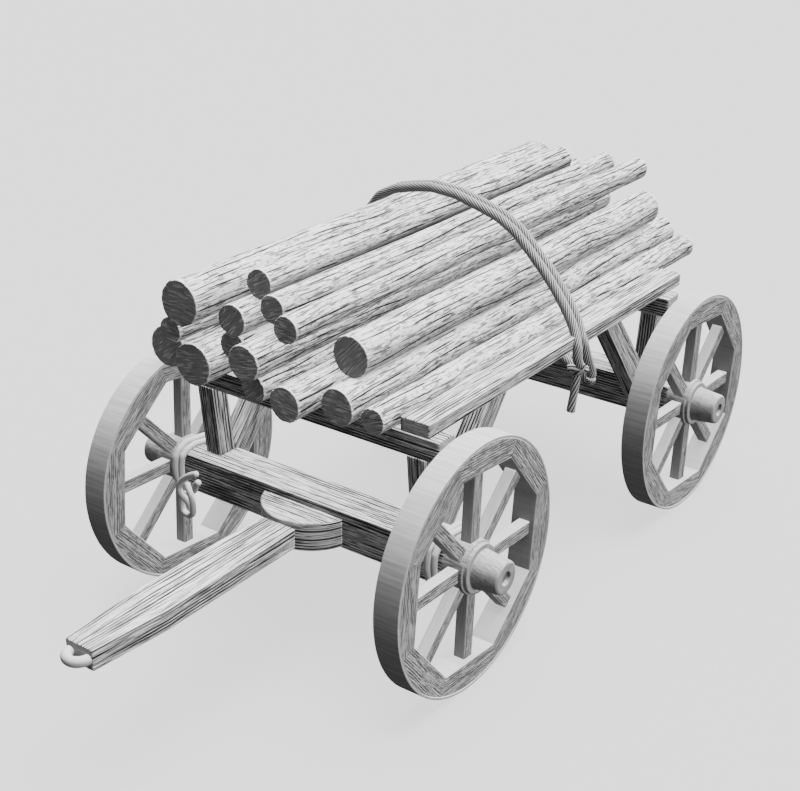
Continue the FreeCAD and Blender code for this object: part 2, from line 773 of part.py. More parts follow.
def hull_path(y, circles):
    """Closed outline of straight runs and arcs around circles given
    counter-clockwise in the XZ plane as (x, z, radius). Returns the wire,
    the start of its first run and that run's direction."""
    count = len(circles)
    runs = []  # angle of the outward normal, start point, end point
    for i in range(count):
        x1, z1, radius1 = circles[i]
        x2, z2, radius2 = circles[(i + 1) % count]
        dx, dz = x2 - x1, z2 - z1
        sine = (radius2 - radius1) / math.hypot(dx, dz)
        lean = math.asin(max(-1.0, min(1.0, sine)))
        angle = math.atan2(dz, dx) - math.pi / 2 - lean
        c, s = math.cos(angle), math.sin(angle)
        runs.append((angle, Vector(x1 + radius1 * c, y, z1 + radius1 * s),
                     Vector(x2 + radius2 * c, y, z2 + radius2 * s)))
    edges = []
    for i in range(count):
        angle, start, end = runs[i]
        next_angle, next_start, _ = runs[(i + 1) % count]
        edges.append(Part.makeLine(start, end))
        x, z, radius = circles[(i + 1) % count]
        middle = angle + (next_angle - angle) % (2 * math.pi) / 2
        bend = Vector(x + radius * math.cos(middle), y, z + radius * math.sin(middle))
        if (next_start - end).Length > 0.05:
            edges.append(Part.Arc(end, bend, next_start).toShape())
    _, start, end = runs[0]
    return Part.Wire(Part.__sortEdges__(edges)), start, end - start


def tube(wire, start, direction, radius):
    """Round bar swept along a wire."""
    profile = Part.Wire([Part.makeCircle(radius, start, direction)])
    return wire.makePipeShell([profile], True, True)


def round_log(name):
    """Circle the rope's centreline follows over a log."""
    x, z, radius = LOGS[name][:3]
    return (x, z, radius + rope_radius.value + ROPE_CLEAR)


def rope_loop(y, low):
    """One turn of rope round the load, its right side hanging to z = low."""
    rail_corner = (rail_outer.value - RAIL_CORNER_ROUND,
                   rail_top.value - RAIL_CORNER_ROUND,
                   RAIL_CORNER_ROUND + rope_radius.value + ROPE_CLEAR + RAIL_CORNER_CLEAR)
    circles = [(tie_x.value - TIE_INSET, low.value, TIE_BEND), rail_corner]
    circles += [round_log(name) for name in ("log_l", "log_d", "log_b", "log_a", "log_g")]
    circles.append(LEFT_BEND)
    wire, start, direction = hull_path(y.value, circles)
    return tube(wire, start, direction, rope_radius.value)


def feature(name, shape):
    obj = doc.addObject("Part::Feature", name)
    obj.Shape = shape
    return obj


def load_rope():
    """Both turns of rope, and the knot closed round them."""
    loops = Part.makeCompound([rope_loop(rope_first, rope_snug),
                               rope_loop(rope_second, rope_slack)])
    piece("load_rope", feature("load_rope", loops))
    # the knot is cut before it is seated, so its tool stays unseated too
    rope_tool = feature("rope_tool", loops)
    lump = primitive("Part::Ellipsoid", "knot_lump", **KNOT_RADII)
    lump.Placement = Placement(KNOT_CENTRE, Rotation())
    piece("rope_knot", cut("rope_knot", lump, rope_tool))


def rope_end():
    """Loose end hanging below the knot."""
    end_bar = primitive("Part::Cylinder", "rope_end",
                        Radius=rope_radius * ROPE_END_THINNING, Height=tail_len)
    piece("rope_end", end_bar, tail_x, tail_y, tail_z,
          Rotation(X_AXIS, 180 - ROPE_END_LEAN))


load_rope()
rope_end()

# ---------------------------------------------------------- axle-end lashings
CORD_CLEAR = 0.6     # air between the cord and the beam
CORD_LAY_CLEAR = 0.8  # air added for a cord laid over the turns
CORD_CORNER = 5.0    # corner bend beyond the cord's own radius
# z and inner end x of the straight cords laid across the left turns
LAID_CORDS = ((514.0, -530.0), (480.0, -532.0))

cord = cord_radius.value
turn_top = beam_top.value + cord + CORD_CLEAR
turn_low = beam_low.value - cord - CORD_CLEAR
turn_half = beam_depth.value / 2 + cord + CORD_CLEAR
lay_y = -turn_half - 2 * cord - CORD_LAY_CLEAR


def turn_round(x):
    """One turn of cord round the square beam, corners rounded."""
    bend = cord + CORD_CORNER
    near, far = turn_half - bend, turn_half
    points = [Vector(x, -near, turn_low), Vector(x, near, turn_low),
              Vector(x, far, turn_low + bend), Vector(x, far, turn_top - bend),
              Vector(x, near, turn_top), Vector(x, -near, turn_top),
              Vector(x, -far, turn_top - bend), Vector(x, -far, turn_low + bend)]
    # bend centre y and z, then the signs of its outward diagonal
    bends = [(near, turn_low + bend, 1, -1), (near, turn_top - bend, 1, 1),
             (-near, turn_top - bend, -1, 1), (-near, turn_low + bend, -1, -1)]
    diagonal = bend * math.sqrt(0.5)
    edges = []
    for i, (y, z, sign_y, sign_z) in enumerate(bends):
        start, end, after = points[2 * i], points[2 * i + 1], points[(2 * i + 2) % 8]
        edges.append(Part.makeLine(start, end))
        middle = Vector(x, y + sign_y * diagonal, z + sign_z * diagonal)
        edges.append(Part.Arc(end, middle, after).toShape())
    wire = Part.Wire(Part.__sortEdges__(edges))
    return tube(wire, Vector(x, 0, turn_low), Y_AXIS, cord)


def axle_lashings():
    """Two turns at each end of the front beam, and the cords laid on the left."""
    outer, inner = cord_outer_x.value, cord_inner_x.value
    cords = [turn_round(outer), turn_round(inner)]
    for z, inner_end in LAID_CORDS:
        cords.append(Part.makeCylinder(cord, inner_end - outer,
                                       Vector(outer, lay_y, z), X_AXIS))
    cords += [turn_round(-outer), turn_round(-inner)]
    piece("axle_lashings", feature("axle_lashings", Part.makeCompound(cords)))


def lashing_bight():
    """Loose U of cord hanging in front of the beam's left end."""
    left, right = (bight_x - bight_half).value, (bight_x + bight_half).value
    low, high = bight_low.value, bight_high.value
    bend_z = low + bight_half.value
    left_top, right_top = Vector(left, lay_y, high), Vector(right, lay_y, high)
    left_bend, right_bend = Vector(left, lay_y, bend_z), Vector(right, lay_y, bend_z)
    bottom = Vector(bight_x.value, lay_y, low)
    wire = Part.Wire([Part.makeLine(left_top, left_bend),
                      Part.Arc(left_bend, bottom, right_bend).toShape(),
                      Part.makeLine(right_bend, right_top)])
    piece("lashing_bight", feature("lashing_bight", tube(wire, left_top, -Z_AXIS, cord)))


axle_lashings()
lashing_bight()

# -------------------------------------------------------------------- export
doc.recompute()
for obj in doc.Objects:
    faults = [state for state in obj.State if state in ("Invalid", "Error")]
    if faults:
        raise RuntimeError("%s %s is %s" % (obj.TypeId, obj.Label, faults))
for label, obj in pieces:
    shape = obj.Shape
    if shape.isNull() or not shape.isValid() or not shape.Solids:
        raise RuntimeError("bad shape: " + label)
    shape.exportStep("parts/%s.step" % label)
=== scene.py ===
"""A timber cart: four spoked wheels, hewn beams, a drawbar, a load of barked logs tied down
with a laid rope, and cord lashed round the ends of the front axle beam.

Metres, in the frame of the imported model: +Z up, the drawbar points forward along -Y,
+X is the right-hand side and the wheels stand on z = 0.
"""
import math

import bpy
import numpy as np
from mathutils import Matrix, Vector


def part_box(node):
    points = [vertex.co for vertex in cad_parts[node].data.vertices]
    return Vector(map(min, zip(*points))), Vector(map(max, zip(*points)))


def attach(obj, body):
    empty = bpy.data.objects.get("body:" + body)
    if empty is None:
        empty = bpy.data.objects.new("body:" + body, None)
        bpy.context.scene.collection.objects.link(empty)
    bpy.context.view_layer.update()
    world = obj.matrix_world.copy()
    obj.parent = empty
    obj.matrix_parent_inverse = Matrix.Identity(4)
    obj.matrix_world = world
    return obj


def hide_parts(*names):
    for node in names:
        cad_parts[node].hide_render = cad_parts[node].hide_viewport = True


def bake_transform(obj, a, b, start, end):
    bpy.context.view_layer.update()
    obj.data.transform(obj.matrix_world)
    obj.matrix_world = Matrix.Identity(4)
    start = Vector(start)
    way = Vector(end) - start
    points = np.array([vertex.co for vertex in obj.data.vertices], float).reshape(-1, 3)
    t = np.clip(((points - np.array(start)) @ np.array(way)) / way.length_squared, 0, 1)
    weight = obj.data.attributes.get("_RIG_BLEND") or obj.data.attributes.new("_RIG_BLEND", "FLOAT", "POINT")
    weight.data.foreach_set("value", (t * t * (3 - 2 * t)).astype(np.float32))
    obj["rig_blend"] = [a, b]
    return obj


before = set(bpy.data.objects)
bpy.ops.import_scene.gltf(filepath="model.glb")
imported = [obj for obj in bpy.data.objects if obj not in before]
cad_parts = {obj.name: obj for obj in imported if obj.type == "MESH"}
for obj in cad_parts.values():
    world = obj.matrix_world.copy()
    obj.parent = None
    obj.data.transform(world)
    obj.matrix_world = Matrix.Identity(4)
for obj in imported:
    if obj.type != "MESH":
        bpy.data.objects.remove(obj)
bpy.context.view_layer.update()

FINE = 1.0           # mesh step multiplier
TURN = 2 * math.pi
FRONT_Y = -0.565                       # the front axle
WHEELBASE = 1.783
REAR_Y = FRONT_Y + WHEELBASE
PIECE_SHIFT = 0.731                    # moves the grain pattern on by this much per seed


# ------------------------------------------------------------------- noise
def clip01(values):
    return np.clip(values, 0, 1)


def lattice(column, row, seed):
    """A hash of each lattice point, 0 to 65535."""
    mixed = (column * 374761393 + row * 668265263 + seed * 974634777) & 0xFFFFFFFF
    for shift, factor in ((13, 1274126177), (15, 2246822519)):
        mixed = ((mixed ^ (mixed >> shift)) * factor) & 0xFFFFFFFF
    return (mixed ^ (mixed >> 16)) & 0xFFFF


def noise(x, y, seed, wrap=None):
    """Gradient noise of about -0.8 to 0.8; wrap repeats it every wrap cells of y."""
    x, y = np.broadcast_arrays(np.asarray(x, float), np.asarray(y, float))
    floor_x, floor_y = np.floor(x), np.floor(y)
    cell_x, cell_y = floor_x.astype(np.int64), floor_y.astype(np.int64)
    off_x, off_y = x - floor_x, y - floor_y
    fade_x, fade_y = (d * d * d * (d * (d * 6 - 15) + 10) for d in (off_x, off_y))
    total = np.zeros(x.shape)
    for i in (0, 1):
        for j in (0, 1):
            row = cell_y + j
            if wrap:
                row = np.mod(row, wrap)
            angle = lattice(cell_x + i, row, seed) * (TURN / 65536.0)
            slope = np.cos(angle) * (off_x - i) + np.sin(angle) * (off_y - j)
            total += slope * (fade_x if i else 1 - fade_x) * (fade_y if j else 1 - fade_y)
    return total * 1.4


def crease(values, width):
    """1 along the zero lines of values, falling to 0 at width either side."""
    return clip01(1 - np.abs(values) / width)


def timber(along, across, seed, deep=1.0):
    """Weathered sawn timber. Returns (height in m, how deep in a crack 0..1); the materials paint the second
    as shade in the cracks.
    """
    def field(length, width, layer, shift=0.0):
        return noise(along / length, (across + shift) / width, seed + layer)

    wander = 0.006 * field(0.34, 0.05, 5) + 0.0016 * field(0.07, 0.02, 6)
    # each set of cracks fades in and out in patches
    wide = crease(field(0.30, 0.0115, 0, wander), 0.24)
    wide = wide * clip01(0.62 + 1.5 * field(0.17, 0.020, 1))
    fine = crease(field(0.16, 0.0062, 2, wander * 1.3), 0.26)
    fine = fine * clip01(0.30 + 1.5 * field(0.10, 0.014, 3))
    height = -0.0019 * wide - 0.0009 * fine + 0.0005 * field(0.25, 0.028, 4)
    return height * deep, clip01(wide + 0.6 * fine)


def bark(along, angle, radius, seed):
    """Bark of a round log, returned as timber() does; angle runs once round, so the
    pattern closes on itself."""
    columns = max(6, int(round(TURN * radius / 0.034)))
    y = angle / TURN * columns

    def field(length, dense, layer, shift=0.0):
        return noise(along / length, dense * y + shift, seed + layer, dense * columns)

    if columns % 2 == 0:
        wander = 0.55 * noise(along / 0.42, y * 0.5, seed + 5, columns // 2)
    else:
        wander = 0.45 * field(0.42, 1, 5)
    wander = wander + 0.10 * field(0.07, 2, 6)
    long = crease(field(0.62, 1, 0, wander), 0.085) * clip01(0.80 + 1.5 * field(0.30, 1, 1))
    short = crease(field(0.22, 2, 2, wander), 0.10) * clip01(0.10 + 1.7 * field(0.13, 2, 3))
    chip = noise(along / 0.034 + y * 1.7, y * 4, seed + 4, 4 * columns)
    chip = clip01((chip - 0.34) * 5.0) * clip01(0.25 + 1.6 * field(0.2, 1, 7))
    lump = field(0.09, 1, 8)
    swell = noise(along / 0.55, seed * 0.37, seed + 9)
    height = -0.0034 * long - 0.0016 * short - 0.0010 * chip + 0.0011 * lump + 0.0022 * swell
    return height, clip01(long + 0.75 * short + 0.45 * chip)


# --------------------------------------------------------------- mesh making
def new_object(name, data):
    obj = bpy.data.objects.new(name, data)
    bpy.context.scene.collection.objects.link(obj)
    return obj


class Skins:
    """Gathers closed skins into one mesh with the attributes the materials read:
    gr (along, across, piece), cav (crack, painted as shade in cracks, grooves and between logs),
    end (sawn end) and calm (no strokes; on eased corners a painted highlight)."""

    def __init__(self):
        self.verts, self.quads, self.tris, self.flat = [], [], [], []
        self.attributes = {"gr": [], "cav": [], "end": [], "calm": []}
        self.count = 0

    def points(self, points, grain, **scalars):
        self.verts.append(points.reshape(-1, 3))
        self.attributes["gr"].append(grain.reshape(-1, 3))
        for name, value in scalars.items():
            self.attributes[name].append(np.broadcast_to(value, points.shape[:-1]).reshape(-1))
        self.count += len(self.verts[-1])

    def skin(self, points, grain, crack, end=0.0, calm=0.0, loop=False, flat=0):
        """points is (rings, around, 3). The last ring joins the first if loop is set,
        otherwise both are closed with a fan. flat is how many rows of faces at each
        end are shaded flat."""
        rings, around = points.shape[:2]
        index = self.count + np.arange(rings * around).reshape(rings, around)
        if loop:
            index = np.concatenate([index, index[:1]], 0)
        index = np.concatenate([index, index[:, :1]], 1)
        quads = [index[:-1, :-1], index[:-1, 1:], index[1:, 1:], index[1:, :-1]]
        self.quads.append(np.stack(quads, -1).reshape(-1, 4))
        faceted = np.zeros(quads[0].shape, bool)
        if flat:
            faceted[:flat] = faceted[-flat:] = True
        self.flat.append(faceted.reshape(-1))
        end = np.broadcast_to(end, (rings, around))
        self.points(points, grain, cav=crack, end=end, calm=calm)
        if loop:
            return
        for ring in (0, -1):
            centre = self.count
            self.points(points[ring].mean(0), grain[ring].mean(0), cav=0.0, end=end[ring, 0],
                        calm=0.0)
            first, second = index[ring, :-1], index[ring, 1:]
            if ring == 0:
                first, second = second, first
            self.tris.append(np.stack([np.full(len(first), centre), first, second], -1))

    def make(self, name, material, move=None):
        verts = np.concatenate(self.verts).astype(np.float64)
        if move is not None:
            move = np.array(move)
            verts = verts @ move[:3, :3].T + move[:3, 3]
        quads = np.concatenate(self.quads).astype(np.int32)
        tris = np.concatenate(self.tris or [np.zeros((0, 3))]).astype(np.int32)
        data = bpy.data.meshes.new(name)
        data.vertices.add(len(verts))
        data.vertices.foreach_set("co", verts.astype(np.float32).ravel())
        data.loops.add(quads.size + tris.size)
        data.loops.foreach_set("vertex_index", np.concatenate([quads.ravel(), tris.ravel()]))
        data.polygons.add(len(quads) + len(tris))
        starts = [np.arange(len(quads)) * 4, quads.size + np.arange(len(tris)) * 3]
        data.polygons.foreach_set("loop_start", np.concatenate(starts).astype(np.int32))
        flat = np.concatenate(self.flat)
        flat = np.concatenate([flat, np.full(len(tris), bool(flat.any()))])
        data.polygons.foreach_set("use_smooth", ~flat)
        for attribute, values in self.attributes.items():
            vector = attribute == "gr"
            layer = data.attributes.new(attribute, "FLOAT_VECTOR" if vector else "FLOAT", "POINT")
            layer.data.foreach_set("vector" if vector else "value",
                                   np.asarray(np.concatenate(values), np.float32).ravel())
        data.update(calc_edges=True)
        data.validate()
        data.materials.append(material)
        return new_object(name, data)


def grain_of(along, across, piece):
    return np.stack(np.broadcast_arrays(along, across, piece), -1)


def unit(vectors):
    return vectors / np.maximum(np.linalg.norm(vectors, axis=-1, keepdims=True), 1e-12)


def grid_normals(points):
    """Outward normals of a skin laid out as in Skins.skin."""
    around = np.roll(points, -1, 1) - np.roll(points, 1, 1)
    return unit(np.cross(around, np.gradient(points, axis=0)))


def arc_length(path):
    """Distance walked along a path at each of its points."""
    return np.concatenate([[0], np.cumsum(np.linalg.norm(np.diff(path, axis=0), axis=1))])


def eased_corner(before, corner, after, u):
    """A quadratic curve past a corner, u from 0 to 1."""
    return (1 - u) ** 2 * before + 2 * u * (1 - u) * corner + u * u * after


def outline(corners, steps, ease):
    """Samples round a polygon with eased corners: weights on its corners, distance round,
    side number and whether the sample lies on an eased corner."""
    corners = np.asarray(corners, float)
    count = len(corners)
    lengths = [np.linalg.norm(corners[(i + 1) % count] - corners[i]) for i in range(count)]
    basis = np.eye(count)
    samples = []
    walked = 0.0
    for i in range(count):
        start, corner, beyond = basis[i], basis[(i + 1) % count], basis[(i + 2) % count]
        length, following = lengths[i], lengths[(i + 1) % count]
        step = steps[i % len(steps)] * FINE
        cuts = max(1, int(math.ceil((length - 2 * ease) / step)))
        for f in np.linspace(ease / length, 1 - ease / length, cuts + 1):
            samples.append(((1 - f) * start + f * corner, walked + f * length, i, False))
        before = (1 - ease / length) * corner + ease / length * start
        after = (1 - ease / following) * corner + ease / following * beyond
        for u in (0.3, 0.7):
            samples.append((eased_corner(before, corner, after, u),
                            walked + length - ease * (1 - u), i, True))
        walked += length
    return [np.array(column) for column in zip(*samples)]


def bar(mesh, sections, seed, step=0.012, steps=(0.0021,), ease=0.004, deep=1.0, end_deep=1.0,
        smooth_sides=()):
    """A timber bar through the polygons in sections, which share one corner order.
    Its ends are closed sawn faces."""
    sections = np.asarray(sections, float)
    middles = sections.mean(1)
    arms = sections[0] - middles[0]
    # the corner order is put right so that the skin faces outward
    if np.dot(np.cross(arms, np.roll(arms, -1, 0)).sum(0), middles[-1] - middles[0]) < 0:
        sections = sections[:, ::-1]
    weights, across_line, side, corner = outline(sections[0], steps, ease)
    stations = arc_length(middles)
    total = stations[-1]
    count = max(3, int(math.ceil((total - 2 * ease) / (step * FINE))) + 1)
    inset = ease / (np.linalg.norm(arms, axis=1).min() * 0.7)
    cap = 10 - 1
    shrink = np.linspace(0.05, 1 - inset, cap + 1)[:-1]
    along_line = np.concatenate([np.zeros(cap), [0, ease * 0.3],
                                 np.linspace(ease, total - ease, count),
                                 [total - ease * 0.3, total], np.full(cap, total)])
    scale = np.concatenate([shrink, [1 - inset, 1 - inset * 0.3], np.ones(count),
                            [1 - inset * 0.3, 1 - inset], shrink[::-1]])
    rings = np.empty((len(along_line), len(sections[0]), 3))
    for i in range(sections.shape[1]):
        for j in range(3):
            rings[:, i, j] = np.interp(along_line, stations, sections[:, i, j])
    centres = rings.mean(1)[:, None]
    points = np.einsum("kc,rcd->rkd", weights, rings)
    points = centres + (points - centres) * scale[:, None, None]
    normals = grid_normals(points)
    along, across = np.meshgrid(along_line, across_line, indexing="ij")
    height, crack = timber(along, across, seed, deep)
    smooth = np.isin(side, smooth_sides)
    for values, on_smooth in ((height, 0.12), (crack, 0.10)):
        values[:, corner] *= 0.3
        values[:, smooth] *= on_smooth
    end = np.zeros(height.shape)
    # end grain: close lines across the sawn faces
    width_axis = unit(sections[0][1] - sections[0][0])
    caps = []
    for rows, last, inner in ((slice(0, cap), 0, 1), (slice(-cap, None), -1, -2)):
        polygon = sections[last]
        face = unit(np.cross(polygon[1] - polygon[0], polygon[2] - polygon[1]))
        face = face * np.sign(np.dot(face, middles[last] - middles[inner]))
        depth_axis = np.cross(face, width_axis)
        ring = crease(noise(points[rows] @ width_axis / 0.06, points[rows] @ depth_axis / 0.007,
                            seed + 11), 0.3)
        normals[rows] = face
        height[rows] = -0.0009 * ring * end_deep
        crack[rows] = 0.55 * ring
        end[rows] = 1
        caps.append((rows, depth_axis))
    points = points + normals * height[..., None]
    grain = grain_of(along, across, seed * PIECE_SHIFT)
    for rows, depth_axis in caps:
        grain[rows, :, 0] = points[rows] @ width_axis
        grain[rows, :, 1] = points[rows] @ depth_axis
    # strokes stop at the eased corners, and the pale band left there is also a painted highlight along the
    # arrises; the smooth sides carry almost none
    calm = np.where(corner, 0.85, np.where(smooth, 0.88, 0.0))
    mesh.skin(points, grain, crack, end, calm)


def box_bar(mesh, low, high, axis, seed, **shape):
    """A straight bar filling the box low..high along axis 0, 1 or 2."""
    a, b = [i for i in range(3) if i != axis]
    sections = np.zeros((2, 4, 3))
    sections[0, :, axis] = low[axis]
    sections[1, :, axis] = high[axis]
    sections[:, :, a] = [low[a], high[a], high[a], low[a]]
    sections[:, :, b] = [low[b], low[b], high[b], high[b]]
    bar(mesh, sections, seed, **shape)


def even(path, step):
    """The path resampled at even distances of about step."""
    walked = arc_length(path)
    count = max(4, int(round(walked[-1] / step)) + 1)
    stops = np.linspace(0, walked[-1], count)
    return np.stack([np.interp(stops, walked, path[:, i]) for i in range(3)], -1)


def smooth_path(points, step):
    """Points joined by a centripetal curve and evenly resampled."""
    def between(t, start, stop, a, b):
        return (stop - t) / (stop - start) * a + (t - start) / (stop - start) * b

    points = np.asarray(points, float)
    points = np.concatenate([[2 * points[0] - points[1]], points,
                             [2 * points[-1] - points[-2]]])
    curve = []
    for i in range(1, len(points) - 2):
        four = points[i - 1:i + 3]
        gaps = [max(1e-6, np.linalg.norm(b - a)) ** 0.5 for a, b in zip(four, four[1:])]
        knots = np.concatenate([[0], np.cumsum(gaps)])
        for t in np.linspace(knots[1], knots[2], 24, endpoint=False):
            legs = [between(t, knots[j], knots[j + 1], four[j], four[j + 1]) for j in range(3)]
            bends = [between(t, knots[j], knots[j + 2], legs[j], legs[j + 1]) for j in range(2)]
            curve.append(between(t, knots[1], knots[2], *bends))
    curve.append(points[-2])
    return even(np.array(curve), step)


def smooth_loop(path, step, window):
    """An open list of points closed into a loop, resampled and averaged over window points."""
    path = even(np.concatenate([path, path[:1]]), step)[:-1]
    weights = np.hanning(window + 2)[1:-1]
    weights = weights / weights.sum()
    padded = np.concatenate([path[-window:], path, path[:window]])
    return np.stack([np.convolve(padded[:, i], weights, "same")[window:-window]
                     for i in range(3)], -1)


def tube(path, radii, angles):
    """Rings of the given radii round a path, in a frame carried along it."""
    tangents = unit(np.gradient(path, axis=0))
    normal = np.array((0.0, 0.0, 1.0))
    normal = unit(normal - tangents[0] * np.dot(normal, tangents[0]))
    normals = [normal]
    for tangent in tangents[1:]:
        normal = normal - tangent * np.dot(normal, tangent)
        normal = normal / np.linalg.norm(normal)
        normals.append(normal)
    normals = np.array(normals)
    sideways = np.cross(tangents, normals)
    return path[:, None] + radii[..., None] * (np.cos(angles)[..., None] * normals[:, None] +
                                               np.sin(angles)[..., None] * sideways[:, None])


def laid(mesh, path, radius, seed, strands, pitch, depth, cut=True, fibres=True,
         around=108, swell=None):
    """A laid rope: strands wound round the path; with no depth it is a plain round cord."""
    walked = arc_length(path)
    along, angles = np.meshgrid(walked, np.linspace(0, TURN, around, endpoint=False),
                                indexing="ij")
    lay = angles - TURN * along / pitch
    ridge = np.abs(np.cos(strands / 2.0 * lay))
    lobe = np.sqrt(clip01(1 - (1 - ridge) ** 2))
    radii = radius * (1 - depth + depth * lobe)
    # painted shade in the grooves between the strands
    crack = clip01(1.70 - ridge * 1.9) if depth else 0.0
    if fibres:
        # yarns running at the lay angle within each strand, with painted shade in their grooves
        yarn = crease(noise(along / 0.09, lay * 5.0, seed), 0.3)
        radii = radii - radius * 0.012 * yarn
        crack = clip01(crack + 0.15 * yarn)
    if swell is not None:
        radii = radii * swell(walked)[:, None]
    if cut:
        # rounded cut ends
        near = clip01(np.minimum(walked, walked[-1] - walked) / (radius * 0.35))
        radii = radii * np.sqrt(np.clip(1 - (1 - near) ** 2, 0.04, 1))[:, None]
    mesh.skin(tube(path, radii, angles), grain_of(along, angles * radius, seed * PIECE_SHIFT),
              crack)


def turned(mesh, profile, around, seed, pattern):
    """Closed profile of (x, radius) turned about X; pattern gives height and crack."""
    x, angle = np.meshgrid(profile[:, 0], np.linspace(0, TURN, around, endpoint=False),
                           indexing="ij")

    def spun(axial, radial):
        return np.stack([np.broadcast_to(axial[:, None], x.shape),
                         radial[:, None] * np.cos(angle), radial[:, None] * np.sin(angle)], -1)

    radius = np.broadcast_to(profile[:, 1][:, None], x.shape)
    tangent = np.roll(profile, -1, 0) - np.roll(profile, 1, 0)
    outward = unit(np.stack([-tangent[:, 1], tangent[:, 0]], -1))
    height, crack = pattern(x, angle, radius, seed)
    points = spun(profile[:, 0], profile[:, 1])
    points = points + spun(outward[:, 0], outward[:, 1]) * height[..., None]
    mesh.skin(points, grain_of(x, angle * radius, seed * PIECE_SHIFT), crack, loop=True)


def eased_profile(corners, ease, step):
    """A closed (x, radius) outline with eased corners, sampled every step."""
    corners = [np.array(corner, float) for corner in corners]
    count = len(corners)
    samples = []
    for i in range(count):
        start, corner, beyond = (corners[(i + j) % count] for j in range(3))
        length, following = np.linalg.norm(corner - start), np.linalg.norm(beyond - corner)
        ease_in = min(ease, length * 0.4)
        ease_out = min(ease, following * 0.4)
        cuts = max(1, int(math.ceil((length - 2 * ease_in) / (step * FINE))))
        for f in np.linspace(ease_in / length, 1 - ease_in / length, cuts + 1):
            samples.append(start + (corner - start) * f)
        before = corner + (start - corner) * (ease_in / length)
        after = corner + (beyond - corner) * (ease_out / following)
        for u in (0.33, 0.67):
            samples.append(eased_corner(before, corner, after, u))
    return np.array(samples)


# ------------------------------------------------------------ shader helpers
def add(tree, kind, inputs=None, **settings):
    node = tree.nodes.new(kind)
    for name, value in settings.items():
        setattr(node, name, value)
    for name, value in (inputs or {}).items():
        node.inputs[name].default_value = value
    return node


def new_material(name):
    """An empty material; returns it with its tree and its Principled node."""
    material = bpy.data.materials.new(name)
    material.use_nodes = True
    tree = material.node_tree
    for node in list(tree.nodes):
        tree.nodes.remove(node)
    output = add(tree, "ShaderNodeOutputMaterial")
    bsdf = add(tree, "ShaderNodeBsdfPrincipled")
    tree.links.new(bsdf.outputs[0], output.inputs[0])
    return material, tree, bsdf


def math_node(tree, operation, *values, clamp=False):
    """A Math node on numbers or sockets."""
    node = add(tree, "ShaderNodeMath", operation=operation, use_clamp=clamp)
    for i, value in enumerate(values):
        if isinstance(value, (int, float)):
            node.inputs[i].default_value = value
        else:
            tree.links.new(value, node.inputs[i])
    return node.outputs[0]


def mix_grey(tree, factor, first, second):
    """Colour mix; first and second are grey levels or sockets."""
    node = add(tree, "ShaderNodeMix", data_type="RGBA")
    tree.links.new(factor, node.inputs["Factor"])
    for socket, value in ((node.inputs[6], first), (node.inputs[7], second)):
        if isinstance(value, float):
            socket.default_value = (value, value, value, 1.0)
        else:
            tree.links.new(value, socket)
    return node.outputs[2]


def mapping(tree, source, scale=(1, 1, 1), rotation=(0, 0, 0)):
    node = add(tree, "ShaderNodeMapping", {"Scale": scale, "Rotation": rotation})
    tree.links.new(source, node.inputs["Vector"])
    return node.outputs[0]


def noise_node(tree, source, detail, stretch=None, roughness=0.5, distortion=0.0):
    """Noise over source, whose axes are first scaled by stretch if it is given."""
    node = add(tree, "ShaderNodeTexNoise", {"Scale": 1.0, "Detail": detail,
                                            "Roughness": roughness, "Distortion": distortion})
    if stretch:
        source = mapping(tree, source, stretch)
    tree.links.new(source, node.inputs["Vector"])
    return node.outputs["Fac"]


def map_range(tree, value, given, wanted=(0.0, 1.0)):
    """Maps value from the range given to the range wanted, clamped."""
    node = add(tree, "ShaderNodeMapRange", {"From Min": given[0], "From Max": given[1],
                                            "To Min": wanted[0], "To Max": wanted[1]})
    tree.links.new(value, node.inputs["Value"])
    return node.outputs[0]


def attribute(tree, name, output="Fac"):
    return add(tree, "ShaderNodeAttribute", attribute_name=name).outputs[output]


def surface(tree, bsdf, colour, rough_source, rough_spread, rough_low, specular=0.5):
    """Colour and roughness. To diffuse rays the colour is nearly black, so that bright
    faces do not light their neighbours."""
    rays = add(tree, "ShaderNodeLightPath")
    seen = math_node(tree, "MULTIPLY", rays.outputs["Is Diffuse Ray"], 0.85)
    tree.links.new(mix_grey(tree, seen, colour, 0.02), bsdf.inputs["Base Color"])
    rough = math_node(tree, "MULTIPLY_ADD", rough_source, rough_spread, rough_low)
    tree.links.new(rough, bsdf.inputs["Roughness"])
    bsdf.inputs["Specular IOR Level"].default_value = specular


def relief(tree, bsdf, height, distance):
    node = add(tree, "ShaderNodeBump", {"Distance": distance})
    tree.links.new(height, node.inputs["Height"])
    tree.links.new(node.outputs[0], bsdf.inputs["Normal"])


def line_strokes(tree, source, along, across, piece, width, depth, warp):
    """Parallel lines that keep their width and wander a little."""
    split = add(tree, "ShaderNodeSeparateXYZ")
    tree.links.new(source, split.inputs[0])
    wander = noise_node(tree, source, 2.0, (along, across * 0.10, piece), roughness=0.3)
    place = math_node(tree, "ADD", math_node(tree, "MULTIPLY", split.outputs["Y"], across),
                      math_node(tree, "MULTIPLY", wander, warp))
    place = math_node(tree, "ADD", place, math_node(tree, "MULTIPLY", split.outputs["Z"], 5.37))
    off = math_node(tree, "SUBTRACT", math_node(tree, "FRACT", place), 0.5)
    off = math_node(tree, "ABSOLUTE", off)
    # each line has its own noise along it
    cell = add(tree, "ShaderNodeCombineXYZ")
    tree.links.new(math_node(tree, "MULTIPLY", split.outputs["X"], along * 3.0),
                   cell.inputs["X"])
    tree.links.new(math_node(tree, "MULTIPLY", math_node(tree, "FLOOR", place), 7.31),
                   cell.inputs["Y"])
    tree.links.new(math_node(tree, "MULTIPLY", split.outputs["Z"], piece), cell.inputs["Z"])
    gaps = noise_node(tree, cell.outputs[0], 1.0)
    # the line thins out and stops here and there
    room = map_range(tree, gaps, (0.38, 0.55), (0.0, width))
    return map_range(tree, math_node(tree, "SUBTRACT", off, room), (-width * 0.5, 0.0),
                     (depth, 0.0))


